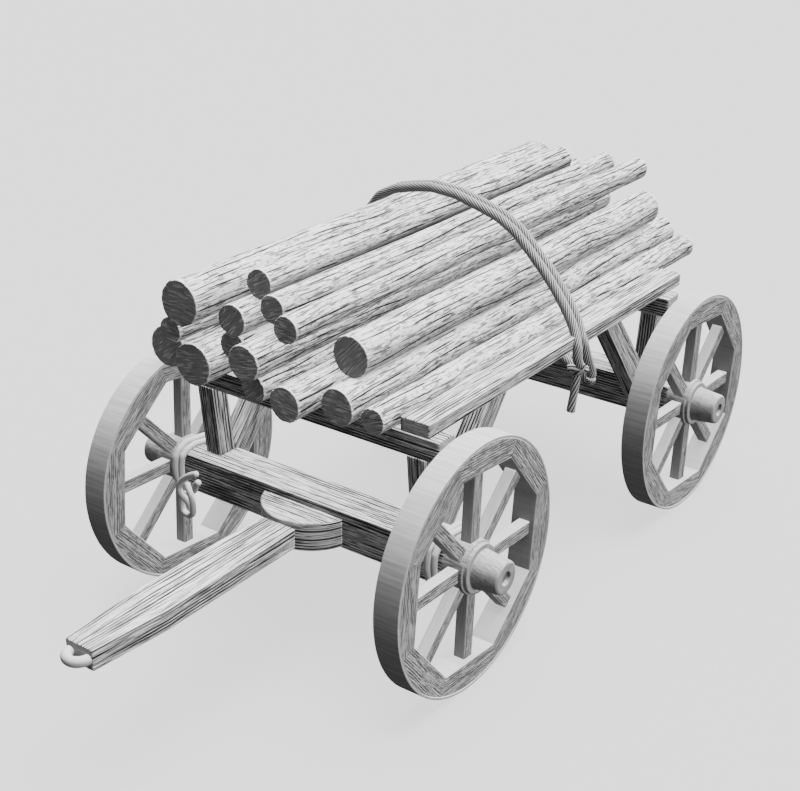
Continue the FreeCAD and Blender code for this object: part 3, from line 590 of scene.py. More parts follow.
def strokes(tree, source, along, across, piece, width, depth, warp, kind):
    """Dark strokes along the grain: up to depth in a stroke, 0 between them. A line keeps
    its width and wanders a little, a seam is a broken contour, a fleck a short dash."""
    if kind == "line":
        return line_strokes(tree, source, along, across, piece, width, depth, warp)
    value = noise_node(tree, source, 1.0, (along, across, piece), roughness=0.35,
                       distortion=warp)
    if kind == "fleck":
        return map_range(tree, value, (width - 0.035, width), (depth, 0.0))
    value = math_node(tree, "ABSOLUTE", math_node(tree, "SUBTRACT", value, 0.5))
    seam = map_range(tree, value, (width * 0.35, width), (depth, 0.0))
    # broken here and there
    gaps = noise_node(tree, source, 0.0, (along * 2.6, across * 0.55, piece + 3))
    return math_node(tree, "MULTIPLY", seam, map_range(tree, gaps, (0.40, 0.50)))


# ---------------------------------------------------------------- materials
def wood_material(name, pale, dark, end_tone, side_strokes, crack, bump, rough=0.82,
                  end_strokes=None):
    """Wood whose grain follows the gr attribute; crack is how dark the painted shade in the
    modelled cracks is and bump the height of the fine relief."""
    material, tree, bsdf = new_material(name)
    grain = attribute(tree, "gr", "Vector")
    cracks = attribute(tree, "cav")
    end = attribute(tree, "end")
    fine = noise_node(tree, grain, 2.0, (14, 420, 37.0))
    side = math_node(tree, "SUBTRACT", 1.0, end)
    total = None
    for stroke in side_strokes:
        layer = strokes(tree, grain, *stroke)
        total = math_node(tree, "MAXIMUM", total, layer) if total else layer
    total = math_node(tree, "MULTIPLY", total, side)
    calm = attribute(tree, "calm")
    total = math_node(tree, "MULTIPLY", total, math_node(tree, "SUBTRACT", 1.0, calm))
    body = mix_grey(tree, end, pale, end_tone)
    if end_strokes:
        marks = math_node(tree, "MULTIPLY", strokes(tree, grain, *end_strokes), end)
        body = mix_grey(tree, marks, body, min(1.0, end_tone * 2.0))
    streak = map_range(tree, fine, (0.38, 0.50), (0.22, 0.0))
    body = mix_grey(tree, streak, body, pale * 0.5)
    # painted shade in the cracks, joined with the dark grain strokes
    deep = math_node(tree, "MULTIPLY", cracks, crack, clamp=True)
    deep = math_node(tree, "MAXIMUM", deep, total, clamp=True)
    surface(tree, bsdf, mix_grey(tree, deep, body, dark), fine, rough_spread=0.2,
            rough_low=rough - 0.1, specular=0.2)
    height = math_node(tree, "SUBTRACT", math_node(tree, "MULTIPLY", fine, 0.4), total)
    relief(tree, bsdf, height, bump)
    return material


def iron_material(name, tone, bump):
    """Dull iron with worn, darker patches."""
    material, tree, bsdf = new_material(name)
    source = add(tree, "ShaderNodeTexCoord").outputs["Object"]
    fine = noise_node(tree, source, 5.0, (40, 40, 40))
    patches = noise_node(tree, source, 4.0, (6, 6, 6))
    wear = map_range(tree, patches, (0.35, 0.65), (0.0, 0.25))
    surface(tree, bsdf, mix_grey(tree, wear, tone, tone * 0.62), fine, rough_spread=0.25,
            rough_low=0.43)
    relief(tree, bsdf, fine, bump)
    return material


def tyre_material(name):
    """Rolled hoop iron with faint hammer lines across the tread."""
    material, tree, bsdf = new_material(name)
    grain = attribute(tree, "gr", "Vector")
    cracks = attribute(tree, "cav")
    hammered = noise_node(tree, grain, 2.0, (4, 95, 7.0))
    blotches = noise_node(tree, grain, 5.0, (30, 14, 3.0))
    lines = map_range(tree, hammered, (0.35, 0.6), (0.42, 0.0))
    body = mix_grey(tree, lines, 0.70, 0.36)
    body = mix_grey(tree, map_range(tree, blotches, (0.4, 0.7), (0.0, 0.12)), body, 0.5)
    # painted shade in cracks; the tyre's cav is zero
    surface(tree, bsdf, mix_grey(tree, cracks, body, 0.22), blotches, rough_spread=0.3,
            rough_low=0.48, specular=0.35)
    height = math_node(tree, "ADD", hammered, math_node(tree, "MULTIPLY", blotches, 0.4))
    relief(tree, bsdf, height, 0.0005)
    return material


def fibre_material(name, tone, dark, twist, rough, bump):
    """Fibres turned by the angle twist from the run of the rope."""
    material, tree, bsdf = new_material(name)
    bsdf.inputs["Roughness"].default_value = rough
    bsdf.inputs["Sheen Weight"].default_value = 0.15
    grain = attribute(tree, "gr", "Vector")
    groove_shade = attribute(tree, "cav")
    twisted = mapping(tree, grain, rotation=(0, 0, twist))
    fibres = noise_node(tree, twisted, 3.0, (70, 900, 9.0))
    blotches = noise_node(tree, grain, 4.0, (14, 60, 9.0))
    shade = map_range(tree, fibres, (0.35, 0.6), (0.35, 0.0))
    body = mix_grey(tree, shade, tone, tone * 0.55)
    body = mix_grey(tree, map_range(tree, blotches, (0.4, 0.7), (0.0, 0.16)), body, tone * 0.6)
    # painted shade in the grooves between the strands
    surface(tree, bsdf, mix_grey(tree, groove_shade, body, dark), fibres, rough_spread=0.15,
            rough_low=rough - 0.08, specular=0.15)
    relief(tree, bsdf, fibres, bump)
    return material


# Stroke tables: cells per metre along and across the grain, scale of the piece number
# (so that pieces differ), width, depth, warp, kind.
TIMBER_STROKES = ((0.9, 78, 37.0, 0.36, 1.00, 2.2, "line"),
                  (2.0, 131, 47.0, 0.28, 0.80, 3.0, "line"),
                  (14.0, 240, 41.0, 0.43, 0.65, 0.0, "fleck"))
TIMBER_END = (14, 120, 7.0, 0.44, 0.8, 0.0, "fleck")
WHEEL_STROKES = ((3.0, 105, 37.0, 0.30, 0.90, 1.6, "line"),
                 (7.0, 180, 53.0, 0.28, 0.65, 2.0, "line"),
                 (30.0, 260, 41.0, 0.44, 0.65, 0.0, "fleck"))
NAVE_STROKES = ((9.0, 150, 37.0, 0.24, 0.55, 1.0, "line"),
                (26.0, 210, 41.0, 0.44, 0.45, 0.0, "fleck"))
BARK_STROKES = ((1.5, 28, 37.0, 0.130, 1.00, 2.8, "line"),
                (3.2, 44, 47.0, 0.125, 0.92, 2.2, "line"),
                (16.0, 140, 41.0, 0.405, 0.75, 0.3, "fleck"),
                (42.0, 110, 43.0, 0.375, 0.60, 0.8, "fleck"))
BARK_END = (8, 95, 7.0, 0.060, 0.95, 0.4, "seam")

MATERIALS = {                          # by slot name
    "timber": wood_material("timber", pale=0.96, dark=0.02, end_tone=0.66,
                            side_strokes=TIMBER_STROKES, crack=0.25, bump=0.0010,
                            end_strokes=TIMBER_END),
    "wheel_wood": wood_material("wheel_wood", pale=0.70, dark=0.05, end_tone=0.08,
                                side_strokes=WHEEL_STROKES, crack=0.20, bump=0.0007),
    "nave_wood": wood_material("nave_wood", pale=0.63, dark=0.10, end_tone=0.60,
                               side_strokes=NAVE_STROKES, crack=0.9, bump=0.0004),
    "bark": wood_material("bark", pale=0.96, dark=0.02, end_tone=0.49,
                          side_strokes=BARK_STROKES, crack=0.9, bump=0.0016, rough=0.9,
                          end_strokes=BARK_END),
    "tyre_iron": tyre_material("tyre_iron"),
    "bearing_iron": iron_material("bearing_iron", tone=0.26, bump=0.0003),
    "eye_iron": iron_material("eye_iron", tone=0.74, bump=0.0004),
    "rope": fibre_material("rope", tone=0.74, dark=0.01, twist=0.9, rough=0.9, bump=0.0006),
    "cord": fibre_material("cord", tone=0.84, dark=0.25, twist=1.2, rough=0.75, bump=0.0002),
}


def place(mesh, name, slot, node, body="chassis", move=None):
    """Makes the object that stands in for a node of the model and rides on body."""
    obj = mesh.make(name, MATERIALS[slot], move)
    if body:
        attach(obj, body)
    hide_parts(node)
    return obj


# ------------------------------------------------------------------- wheels
WHEEL_RADIUS = 0.5
WHEEL_X = 0.7005                       # middle of each rim from the centre line
WHEEL_ROLL = 2.4                       # degrees the spokes are turned about the axle
SPOKES = 8
HOOP_INNER, HOOP_HALF_WIDTH = 0.4902, 0.0525
RIM_INNER, RIM_OUTER, RIM_HALF_WIDTH = 0.384, 0.4898, 0.0515
# (x, radius) round the nave's section
NAVE_PROFILE = ((-0.048, 0.0262), (-0.048, 0.097), (-0.045, 0.097), (-0.045, 0.105),
                (0.045, 0.105), (0.045, 0.097), (0.062, 0.097), (0.062, 0.076),
                (0.164, 0.066), (0.170, 0.060), (0.170, 0.0262))


def wheel_matrix(side, y):
    turn = Matrix.Rotation(math.radians(-WHEEL_ROLL), 4, "X")
    if side < 0:
        turn = turn @ Matrix.Rotation(math.pi, 4, "Z")
    return Matrix.Translation(Vector((WHEEL_X * side, y, WHEEL_RADIUS))) @ turn


def tyre_pattern(x, angle, radius, seed):
    fine, broad = 220, 40              # cells round the tyre
    height = 0.00035 * noise(x / 0.20, angle / TURN * fine, seed, fine) + \
        0.0003 * noise(x / 0.5, angle / TURN * broad, seed + 1, broad)
    return height, 0.0


def nave_pattern(x, angle, radius, seed):
    """Cracks along the wide drum, turned rings everywhere else."""
    drum = (radius > 0.0965) & (np.abs(x) < 0.05)
    count = 96
    y = angle / TURN * count
    cracks = crease(noise(x / 0.12, y, seed, count), 0.26)
    cracks = cracks * clip01(0.6 + 1.3 * noise(x / 0.06, y * 0.5, seed + 1, count // 2))
    rings = crease(noise(x / 0.0052, angle * 3 / TURN, seed + 2, 3), 0.22)
    # the second value is painted shade in the cracks and turned rings
    return (np.where(drum, -0.0011 * cracks, -0.00035 * rings),
            np.where(drum, 0.75 * cracks, 0.16 * rings))


def spoke_axes(angle):
    """Radial and tangential directions at an angle round the wheel."""
    return (np.array([0, -math.sin(angle), math.cos(angle)]),
            np.array([0, math.cos(angle), math.sin(angle)]))


def shrunk(ring, factors):
    centre = ring.mean(0)
    return centre + (ring - centre) * np.array(factors)[:, None, None]


def felloe(mesh, angle, seed):
    """One rim block: the grain runs straight along the block on its two faces."""
    half = math.radians(22.5) + 0.0001
    stations = np.linspace(-half + 0.0008, half - 0.0008, 44)
    sections = []
    # a ring close to each end keeps the mitre crisp
    for turn in np.concatenate([[-half], stations, [half]]):
        inner = RIM_INNER / math.cos(turn)
        out = spoke_axes(angle + turn)[0]
        sections.append([out * radius + [x, 0, 0] for radius, x in (
            (RIM_OUTER, RIM_HALF_WIDTH), (inner, RIM_HALF_WIDTH),
            (inner, -RIM_HALF_WIDTH), (RIM_OUTER, -RIM_HALF_WIDTH))])
    sections = np.array(sections)
    weights, _, side, corner = outline(sections[len(sections) // 2],
                                       (0.0023, 0.010, 0.0023, 0.02), 0.0045)
    points = np.einsum("kc,rcd->rkd", weights, sections)
    normals = grid_normals(points)
    out, along_axis = spoke_axes(angle)
    # side 1 is the inner one: its normals have to point to the axle
    flip = np.dot(normals[len(points) // 2, side == 1].mean(0), out) > 0
    if flip:
        normals = -normals
    face = np.isin(side, (0, 2)) & ~corner
    height, crack = timber(points @ along_axis,
                           points @ out + np.where(points[..., 0] > 0, 0.0, 1.3), seed, 0.85)
    height[:, ~face] *= 0.10
    crack[:, ~face] *= 0.08
    points = points + normals * height[..., None]
    # close both butted ends
    caps = (0.2, 0.6, 0.9997)
    points = np.concatenate([shrunk(points[0], caps), points, shrunk(points[-1], caps[::-1])])
    grain = grain_of(points @ along_axis, points @ out, seed * PIECE_SHIFT)
    crack = np.pad(crack, ((3, 3), (0, 0)))
    end = np.zeros(crack.shape)
    end[:3] = end[-3:] = 1
    # strokes only on the two faces; on the eased corners the pale band is also a painted highlight along the
    # arrises
    calm = np.where(face, 0.0, 0.9)
    if flip:
        points, grain, crack, calm = points[:, ::-1], grain[:, ::-1], crack[:, ::-1], calm[::-1]
    mesh.skin(points, grain, crack, end, calm, flat=3)


def spoke(mesh, angle, seed):
    out, tangent = spoke_axes(angle)
    axle = np.array([1.0, 0, 0])
    deep, wide = axle * 0.024, tangent * 0.027
    sections = []
    for radius in (0.078, 0.390):
        middle = out * radius + axle * 0.006
        sections.append([middle + deep + wide, middle + deep - wide,
                         middle - deep - wide, middle - deep + wide])
    bar(mesh, sections, seed, step=0.010, steps=(0.0021, 0.008, 0.0021, 0.008),
        ease=0.0045, deep=0.6, smooth_sides=(1, 3))


def build_wheel(tag, side, y, seed):
    at_wheel = {"body": "wheel_" + tag, "move": wheel_matrix(side, y)}
    hoop = Skins()
    profile = [(-HOOP_HALF_WIDTH, HOOP_INNER), (-HOOP_HALF_WIDTH, WHEEL_RADIUS),
               (HOOP_HALF_WIDTH, WHEEL_RADIUS), (HOOP_HALF_WIDTH, HOOP_INNER)]
    turned(hoop, eased_profile(profile, 0.0016, 0.006), 480, seed,
           tyre_pattern)
    place(hoop, "hoop_" + tag, "tyre_iron", "tyre_" + tag, **at_wheel)

    rim = Skins()
    pitch = 360.0 / SPOKES
    for k in range(SPOKES):
        felloe(rim, math.radians(pitch * k - WHEEL_ROLL * side), seed * 31 + k * 7)
    place(rim, "rim_blocks_" + tag, "wheel_wood", "felloes_" + tag, **at_wheel)

    spokes = Skins()
    for k in range(SPOKES):
        spoke(spokes, math.radians(pitch * k), seed * 17 + k * 5 + 3)
    place(spokes, "spoke_set_" + tag, "wheel_wood", "spokes_" + tag, **at_wheel)

    nave = Skins()
    turned(nave, eased_profile(NAVE_PROFILE, 0.0032, 0.0026), 180, seed + 3,
           nave_pattern)
    place(nave, "hub_" + tag, "nave_wood", "nave_" + tag, **at_wheel)


for tag, side, y, seed in (("front_right", 1, FRONT_Y, 11), ("front_left", -1, FRONT_Y, 23),
                           ("rear_right", 1, REAR_Y, 37), ("rear_left", -1, REAR_Y, 53)):
    build_wheel(tag, side, y, seed)


# --------------------------------------------- beams, bolsters, rails, struts
BEAM_HALF_DEPTH = 0.084                # front axle beam along y
BEAM_BOTTOM, BEAM_TOP = 0.4225, 0.580


def build_beam(node, axis, seed):
    low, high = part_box(node)
    mesh = Skins()
    box_bar(mesh, low, high, axis, seed, ease=0.005)
    place(mesh, "hewn_" + node, "timber", node)


def build_left_rail():
    """The left rail narrows towards its top."""
    low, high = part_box("rail_left")
    mesh = Skins()
    bar(mesh, [[(low.x, y, low.z), (high.x, y, low.z), (high.x - 0.028, y, high.z),
                (low.x + 0.029, y, high.z)] for y in (low.y, high.y)],
        207, ease=0.003, step=0.02)
    place(mesh, "hewn_rail_left", "timber", "rail_left")


def build_struts(node, axle_y, inward, seed):
    """An upright and a slanted brace at one corner; inward is +1 or -1 along y."""
    low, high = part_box(node)

    def section(y0, z0, y1, z1):
        near, far = axle_y + y0 * inward, axle_y + y1 * inward
        return [(low.x, near, z0), (high.x, near, z0), (high.x, far, z1), (low.x, far, z1)]

    mesh = Skins()
    bar(mesh, [section(-0.017, BEAM_TOP, 0.066, BEAM_TOP),
               section(-0.0525, 0.8885, 0.0295, 0.8885)], seed)
    # the brace: from the beam's face up to the underside of the load
    bar(mesh, [section(BEAM_HALF_DEPTH, 0.452, 0.068, 0.605),
               section(0.505, 0.9775, 0.380, 0.9775)], seed + 7)
    place(mesh, "braced_" + node, "timber", node)


for node, axis, seed in (("axle_beam_front", 0, 101), ("axle_beam_rear", 0, 131),
                         ("bolster_front", 0, 151), ("bolster_rear", 0, 171),
                         ("rail_right", 1, 191)):
    build_beam(node, axis, seed)
build_left_rail()
for end, axle_y, inward, end_seed in (("front", FRONT_Y, 1, 301), ("rear", REAR_Y, -1, 341)):
    for hand, hand_seed in (("right", 0), ("left", 20)):
        build_struts("struts_%s_%s" % (end, hand), axle_y, inward, end_seed + hand_seed)


# ------------------------------------------------ half-round block, drawbar
DRAWBAR_BOTTOM, DRAWBAR_TOP = 0.4525, 0.535
DRAWBAR_FRONT = -1.2335                # y from the front axle
# (y from the front axle, half width)
DRAWBAR_STATIONS = ((-0.229, 0.0835), (-0.9115, 0.089), (DRAWBAR_FRONT, 0.0625))


def build_block():
    """A block with a round front and a flat back, capped above and below."""
    low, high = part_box("drawbar_block")
    radius, centre_y = 0.2015, FRONT_Y - 0.0205
    ease = 0.004
    inset = ease / 0.15
    back = high.y - centre_y
    chord = math.sqrt(radius * radius - back ** 2)
    arc = np.linspace(math.atan2(back, -chord) + TURN, math.atan2(back, chord) + TURN,
                      110)
    front = [[radius * math.cos(a), centre_y + radius * math.sin(a)] for a in arc]
    flat_back = np.stack([np.linspace(chord, -chord, 26)[1:-1], np.full(24, high.y)], -1)
    ring = np.concatenate([front, flat_back])
    centre = np.array([0.0, centre_y - 0.06])

    bottoms = [0.05, 0.3, 0.6, 0.85, 1 - inset]
    tops = np.linspace(1 - inset, 0.03, 70)
    levels = np.concatenate([np.full(len(bottoms), low.z), [low.z + ease * 0.3],
                             np.linspace(low.z + ease, high.z - ease, 30),
                             [high.z - ease * 0.3], np.full(len(tops), high.z)])
    scale = np.concatenate([bottoms, [1 - 0.3 * inset], np.ones(30), [1 - 0.3 * inset], tops])
    points = np.empty((len(levels), len(ring), 3))
    points[..., :2] = centre + (ring - centre)[None] * scale[:, None, None]
    points[..., 2] = levels[:, None]
    normals = grid_normals(points)
    normals[-len(tops):] = (0, 0, 1)
    normals[:len(bottoms)] = (0, 0, -1)
    rows = np.arange(len(levels))
    flat = ((rows < len(bottoms)) | (rows >= len(levels) - len(tops)))[:, None]

    def round_run():
        return np.arctan2(points[..., 1] - centre_y, points[..., 0]) * radius

    flat_height, flat_crack = timber(points[..., 0], points[..., 1], 401, 0.9)
    side_height, side_crack = timber(round_run(), points[..., 2], 409, 0.18)
    points = points + normals * np.where(flat, flat_height, side_height)[..., None]
    grain = grain_of(np.where(flat, points[..., 0], round_run()),
                     np.where(flat, points[..., 1], points[..., 2]), 1.9)
    mesh = Skins()
    mesh.skin(points, grain, np.where(flat, flat_crack, side_crack * 0.22))
    place(mesh, "half_round_block", "timber", "drawbar_block")


def build_drawbar():
    mesh = Skins()
    sections = []
    for y, half in DRAWBAR_STATIONS:
        y = FRONT_Y + y
        sections.append([(-half, y, DRAWBAR_BOTTOM), (half, y, DRAWBAR_BOTTOM),
                         (half, y, DRAWBAR_TOP), (-half, y, DRAWBAR_TOP)])
    bar(mesh, sections, 431, ease=0.0045, end_deep=0.6)
    # the tenon that runs into the block's slot
    box_bar(mesh, (-0.030, FRONT_Y - 0.26, 0.476), (0.030, FRONT_Y - 0.118, 0.512), 1, 437,
            deep=0.4)
    place(mesh, "tapered_drawbar", "timber", "drawbar", body="drawbar")


def build_tow_eye():
    """A bent round bar with its thinner legs in the drawbar's end."""
    face_y = FRONT_Y + DRAWBAR_FRONT
    bend, z, step = 0.0425, 0.494, 0.0022
    bar_radius, leg_radius = 0.019, 0.0118
    path = [(bend, face_y + 0.03, z), (bend, face_y + 0.012, z)]
    path += [(bend * math.cos(a), face_y - bend * math.sin(a), z)
             for a in np.linspace(0, math.pi, 60)]
    path += [(-bend, face_y + 0.012, z), (-bend, face_y + 0.03, z)]
    path = even(np.array(path), step)
    along, angles = np.meshgrid(np.arange(len(path)) * step,
                                np.linspace(0, TURN, 56, endpoint=False), indexing="ij")
    radii = bar_radius + 0.0004 * noise(along / 0.02, angles / TURN * 8, 77, 8)
    radii = np.where((path[:, 1] > face_y - 0.0005)[:, None], leg_radius, radii)
    mesh = Skins()
    mesh.skin(tube(path, radii, angles), grain_of(along, angles * bar_radius, 0.0), 0.0)
    place(mesh, "towing_ring", "eye_iron", "tow_eye", body="drawbar")


build_block()
build_drawbar()
build_tow_eye()

# --------------------------------------------------------------------- logs
# centre x, centre z, radius, then front and rear ends as y from the front axle
LOGS = {
    "log_a": (-0.436, 1.318, 0.091, -0.252, 2.300),
    "log_b": (-0.175, 1.407, 0.060, -0.100, 2.075),
    "log_c": (-0.074, 1.348, 0.0555, -0.148, 2.325),
    "log_d": (0.0525, 1.3225, 0.054, -0.225, 2.425),
    "log_e": (-0.229, 1.282, 0.0645, -0.195, 2.330),
    "log_f": (-0.262, 1.1605, 0.059, -0.160, 2.200),
    "log_g": (-0.592, 1.078, 0.086, -0.168, 2.290),
    "log_h": (-0.417, 1.066, 0.0875, -0.218, 2.250),
    "log_i": (-0.1215, 1.164, 0.072, -0.265, 2.380),
    "log_j": (-0.1415, 1.0345, 0.0565, -0.192, 2.310),
    "log_k": (0.0585, 1.0475, 0.0695, -0.253, 2.340),
    "log_l": (0.203, 1.204, 0.081, -0.052, 2.230),
    "log_m": (0.228, 1.051, 0.073, -0.164, 2.385),
    "log_n": (0.375, 1.0305, 0.0525, -0.147, 2.310),
    "log_p": (-0.270, 1.0375, 0.0585, 0.060, 2.200),
    "log_s": (-0.505, 1.1885, 0.053, -0.235, 2.260),
}


def gap_to_logs(node, x, y, z):
    """Distance from each point to the nearest of the other logs."""
    gap = np.full(x.shape, 1.0)
    for other, (other_x, other_z, radius, front, rear) in LOGS.items():
        if other != node:
            distance = np.hypot(x - other_x, z - other_z) - radius
            beside = (y > FRONT_Y + front) & (y < FRONT_Y + rear)
            gap = np.where(beside, np.minimum(gap, distance), gap)
    return gap


def build_log(node, seed):
    low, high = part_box(node)
    centre_x, centre_z = (low.x + high.x) / 2, (low.z + high.z) / 2
    radius, length = (high.x - low.x) / 2, high.y - low.y
    around = int(round(TURN * radius / (0.0034 * FINE)))
    rings = int(round(length / (0.011 * FINE)))
    cap = 22
    shrink = np.linspace(0.03, 0.965, cap)
    line = np.concatenate([np.zeros(cap), [0.0012], np.linspace(0.004, length - 0.004, rings),
                           [length - 0.0012], np.full(cap, length)])
    scale = np.concatenate([shrink, [0.99], np.ones(rings), [0.99], shrink[::-1]])
    # the angles run backwards so that the skin faces outward
    along, angle = np.meshgrid(line, np.linspace(0, TURN, around, endpoint=False)[::-1],
                               indexing="ij")

    # not quite round, changing along the log, and slightly bent
    height, crack = bark(along, angle, radius, seed)
    oval = 0.014 * np.cos(2 * angle + seed + 2.2 * along) + \
        0.010 * np.cos(3 * angle + seed * 2.1 + 1.1 * along)
    taper = 1 - 0.02 * along / length
    radii = radius * (0.985 + oval) * taper + height
    bend = 0.006 * np.sin(np.pi * line / length) * math.cos(seed * 1.3) + \
        0.003 * np.sin(3 * np.pi * line / length + seed)
    lift = 0.004 * np.sin(np.pi * line / length) * math.sin(seed * 0.7)
    if node == "log_n":
        # a swollen stem that leans out over the rail behind its front end
        radii = radii * (1 + 0.07 * clip01(along / 0.30))
        bend = bend + 0.009 * clip01(line / 0.30)
    radii = radii * scale[:, None]
    x = centre_x + bend[:, None] + radii * np.cos(angle)
    z = centre_z + lift[:, None] + radii * np.sin(angle)

    # the saw cut: marks across it, turned a little on each log
    turn = 0.35 + 0.5 * math.sin(seed * 2.7)
    u = (x - centre_x) * math.cos(turn) + (z - centre_z) * math.sin(turn)
    v = -(x - centre_x) * math.sin(turn) + (z - centre_z) * math.cos(turn)
    mark = crease(noise(u / 0.12 + seed, (v + 0.10 * u * u / radius) / 0.0105, seed + 21), 0.30)
    mark = mark * clip01(0.5 + 1.4 * noise(u / 0.05, v / 0.02, seed + 22))
    ring = np.arange(len(line))[:, None]
    from_end = np.minimum(ring, len(line) - 1 - ring)
    sawn = from_end < cap
    outward = np.where(ring < len(line) // 2, -1.0, 1.0)
    y = low.y + along + np.where(from_end <= cap, -mark * 0.0016, 0.0) * outward

    # painted shade where another log lies close, carried with the crack shade
    rim = clip01((along - 0.002) / 0.008) * clip01((length - 0.002 - along) / 0.008)
    shade = clip01(1 - gap_to_logs(node, x, y, z) / 0.026) ** 1.2
    crack = np.where(sawn, 0.30 * mark, np.maximum(crack * rim * 0.55, shade))
    grain = np.where(sawn[..., None], grain_of(u, v, seed * 0.5),
                     grain_of(along, (angle + math.pi / 2) % TURN * radius,
                              seed * PIECE_SHIFT))
    mesh = Skins()
    mesh.skin(np.stack([x, y, z], -1), grain, crack, sawn.astype(float),
              np.where(sawn, 0.0, 1 - rim))
    place(mesh, "barked_" + node, "bark", node)


for n, node in enumerate(LOGS):
    build_log(node, 500 + 13 * n)

# -------------------------------------------------------------- load rope
ROPE_RADIUS = 0.0205
# how the rope arches over the stack, from the knot up and across: x, y from the front
# axle, z
ARCH = np.array([
    (0.576, 0.968, 0.944), (0.571, 0.975, 0.993), (0.536, 1.000, 1.054), (0.490, 1.015, 1.116),
    (0.431, 1.030, 1.180), (0.363, 1.042, 1.247), (0.282, 1.052, 1.317), (0.202, 1.058, 1.385),
    (0.115, 1.062, 1.430), (0.025, 1.064, 1.455), (-0.102, 1.066, 1.486),
    (-0.231, 1.068, 1.492), (-0.310, 1.070, 1.477), (-0.416, 1.072, 1.450),
    (-0.500, 1.075, 1.406)])


def at_y(origin, points):
    """Points whose y is measured from origin."""
    return [(x, origin + y, z) for x, y, z in points]


RUN_POINTS, BEND_POINTS = 12, 12       # per circle, on a straight run and on an arc


def hull(circles):
    """Closed path of runs and arcs round circles (x, z, radius), counter-clockwise in XZ."""
    runs = []
    for i, (x1, z1, r1) in enumerate(circles):
        x2, z2, r2 = circles[(i + 1) % len(circles)]
        dx, dz = x2 - x1, z2 - z1
        lean = math.asin(max(-1.0, min(1.0, (r2 - r1) / math.hypot(dx, dz))))
        angle = math.atan2(dz, dx) - math.pi / 2 - lean
        runs.append((angle, (x1 + r1 * math.cos(angle), z1 + r1 * math.sin(angle)),
                     (x2 + r2 * math.cos(angle), z2 + r2 * math.sin(angle))))
    path = []
    for i, (angle, start, stop) in enumerate(runs):
        for f in np.linspace(0, 1, RUN_POINTS):
            path.append((start[0] + (stop[0] - start[0]) * f,
                         start[1] + (stop[1] - start[1]) * f))
        following = (i + 1) % len(circles)
        x, z, radius = circles[following]
        turn = (runs[following][0] - angle) % TURN
        for f in np.linspace(0, 1, BEND_POINTS + 2)[1:-1]:
            a = angle + turn * f
            path.append((x + radius * math.cos(a), z + radius * math.sin(a)))
    return np.array(path)


def rope_loop(low, back):
    """One closed turn, low at its right-hand bend and lying back behind the first."""
    clear = ROPE_RADIUS + 0.001

    def round_log(name):
        x, z, radius = LOGS[name][:3]
        return x, z, radius * 0.99 + clear

    circles = [(0.553, low, 0.030), (0.5485, 1.028, 0.008 + clear + 0.0025),
               round_log("log_a"), round_log("log_g"), (-0.549, 0.9815, 0.027)]
    # only the part from log_a down and under is kept; the arch is measured
    x, z = hull(circles)[2 * (RUN_POINTS + BEND_POINTS) + 3:].T
    y = np.interp(z, [0.95, 1.35], [1.06, 1.077])
    y = np.where((z < 1.0) & (x > -0.5), np.interp(x, [-0.5, 0.575], [1.06, 0.985]), y)
    # underneath it is drawn up close to the logs
    drawn_up = np.interp(x, [0.50, 0.56], [0.953, low - 0.02])
    z = np.where(x > -0.52, np.maximum(z, drawn_up), z)
    path = smooth_loop(np.concatenate([np.stack([x, y, z], -1), ARCH]), 0.006, 11)
    path[:, 1] += FRONT_Y + back
    # start and finish low on the outer side, inside the knot
    start = np.argmin(np.abs(path[:, 0] - 0.583) + np.abs(path[:, 2] - (low + 0.004)))
    path = np.roll(path, -start, 0)
    return even(np.concatenate([path, path[:1]]), 0.0032 * FINE)


def build_load_rope():
    """Two turns of rope round the whole load."""
    first = rope_loop(0.908, 0.0)
    second = rope_loop(0.830, 0.043)
    # the second turn swings clear of the knot before it tucks under
    drop = clip01((1.02 - second[:, 2]) / 0.15) * (second[:, 0] > 0.5)
    second[:, 1] += 0.045 * drop
    second[:, 0] += 0.010 * drop
    mesh = Skins()
    for path, seed in ((first, 701), (second, 709)):
        laid(mesh, path, ROPE_RADIUS, seed, strands=12, pitch=0.240, depth=0.20)
    place(mesh, "laid_load_rope", "rope", "load_rope")


def collar(mesh, points, radius, seed, waist):
    """A short smooth strand, narrowed by the fraction waist near its middle."""
    laid(mesh, smooth_path(at_y(FRONT_Y, points), 0.002), radius, seed, strands=6, pitch=0.4,
         depth=0.03, fibres=False,
         swell=lambda d: 1 - waist * np.exp(-((d - 0.45 * d[-1]) / 0.007) ** 2))


def build_rope_knot():
    """A short turn round both parts of the rope."""
    mesh = Skins()
    collar(mesh, [(0.545, 0.952, 0.900), (0.558, 0.957, 0.907), (0.578, 0.972, 0.905),
                  (0.590, 0.992, 0.898), (0.597, 1.018, 0.889)], 0.0165, 719, waist=0.22)
    collar(mesh, [(0.560, 0.990, 0.868), (0.575, 0.978, 0.882), (0.590, 0.985, 0.905),
                  (0.592, 1.000, 0.918)], 0.0150, 727, waist=0.0)
    place(mesh, "rope_hitch", "rope", "rope_knot")


def build_rope_end():
    """The loose end hangs from the knot and thickens towards its tip."""
    mesh = Skins()
    path = at_y(FRONT_Y, [(0.572, 0.989, 0.890), (0.572, 0.984, 0.868), (0.572, 0.970, 0.810),
                          (0.572, 0.955, 0.745), (0.572, 0.948, 0.714)])
    laid(mesh, smooth_path(path, 0.003), 0.0172, 733, strands=8, pitch=0.30, depth=0.22,
         swell=lambda d: 1 + 0.08 * clip01((d - 0.12) / 0.05))
    tail = place(mesh, "rope_tail", "rope", "rope_end", body=None)
    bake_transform(tail, "chassis", "rope_end", start=(0.568, FRONT_Y + 0.992, 0.850),
             end=(0.568, FRONT_Y + 0.980, 0.800))


build_load_rope()
build_rope_knot()
build_rope_end()

# ---------------------------------------------------------- axle-end lashing
CORD_RADIUS = 0.013
CORD_Y = FRONT_Y - 0.1244              # where the loose cord lies, ahead of the beam
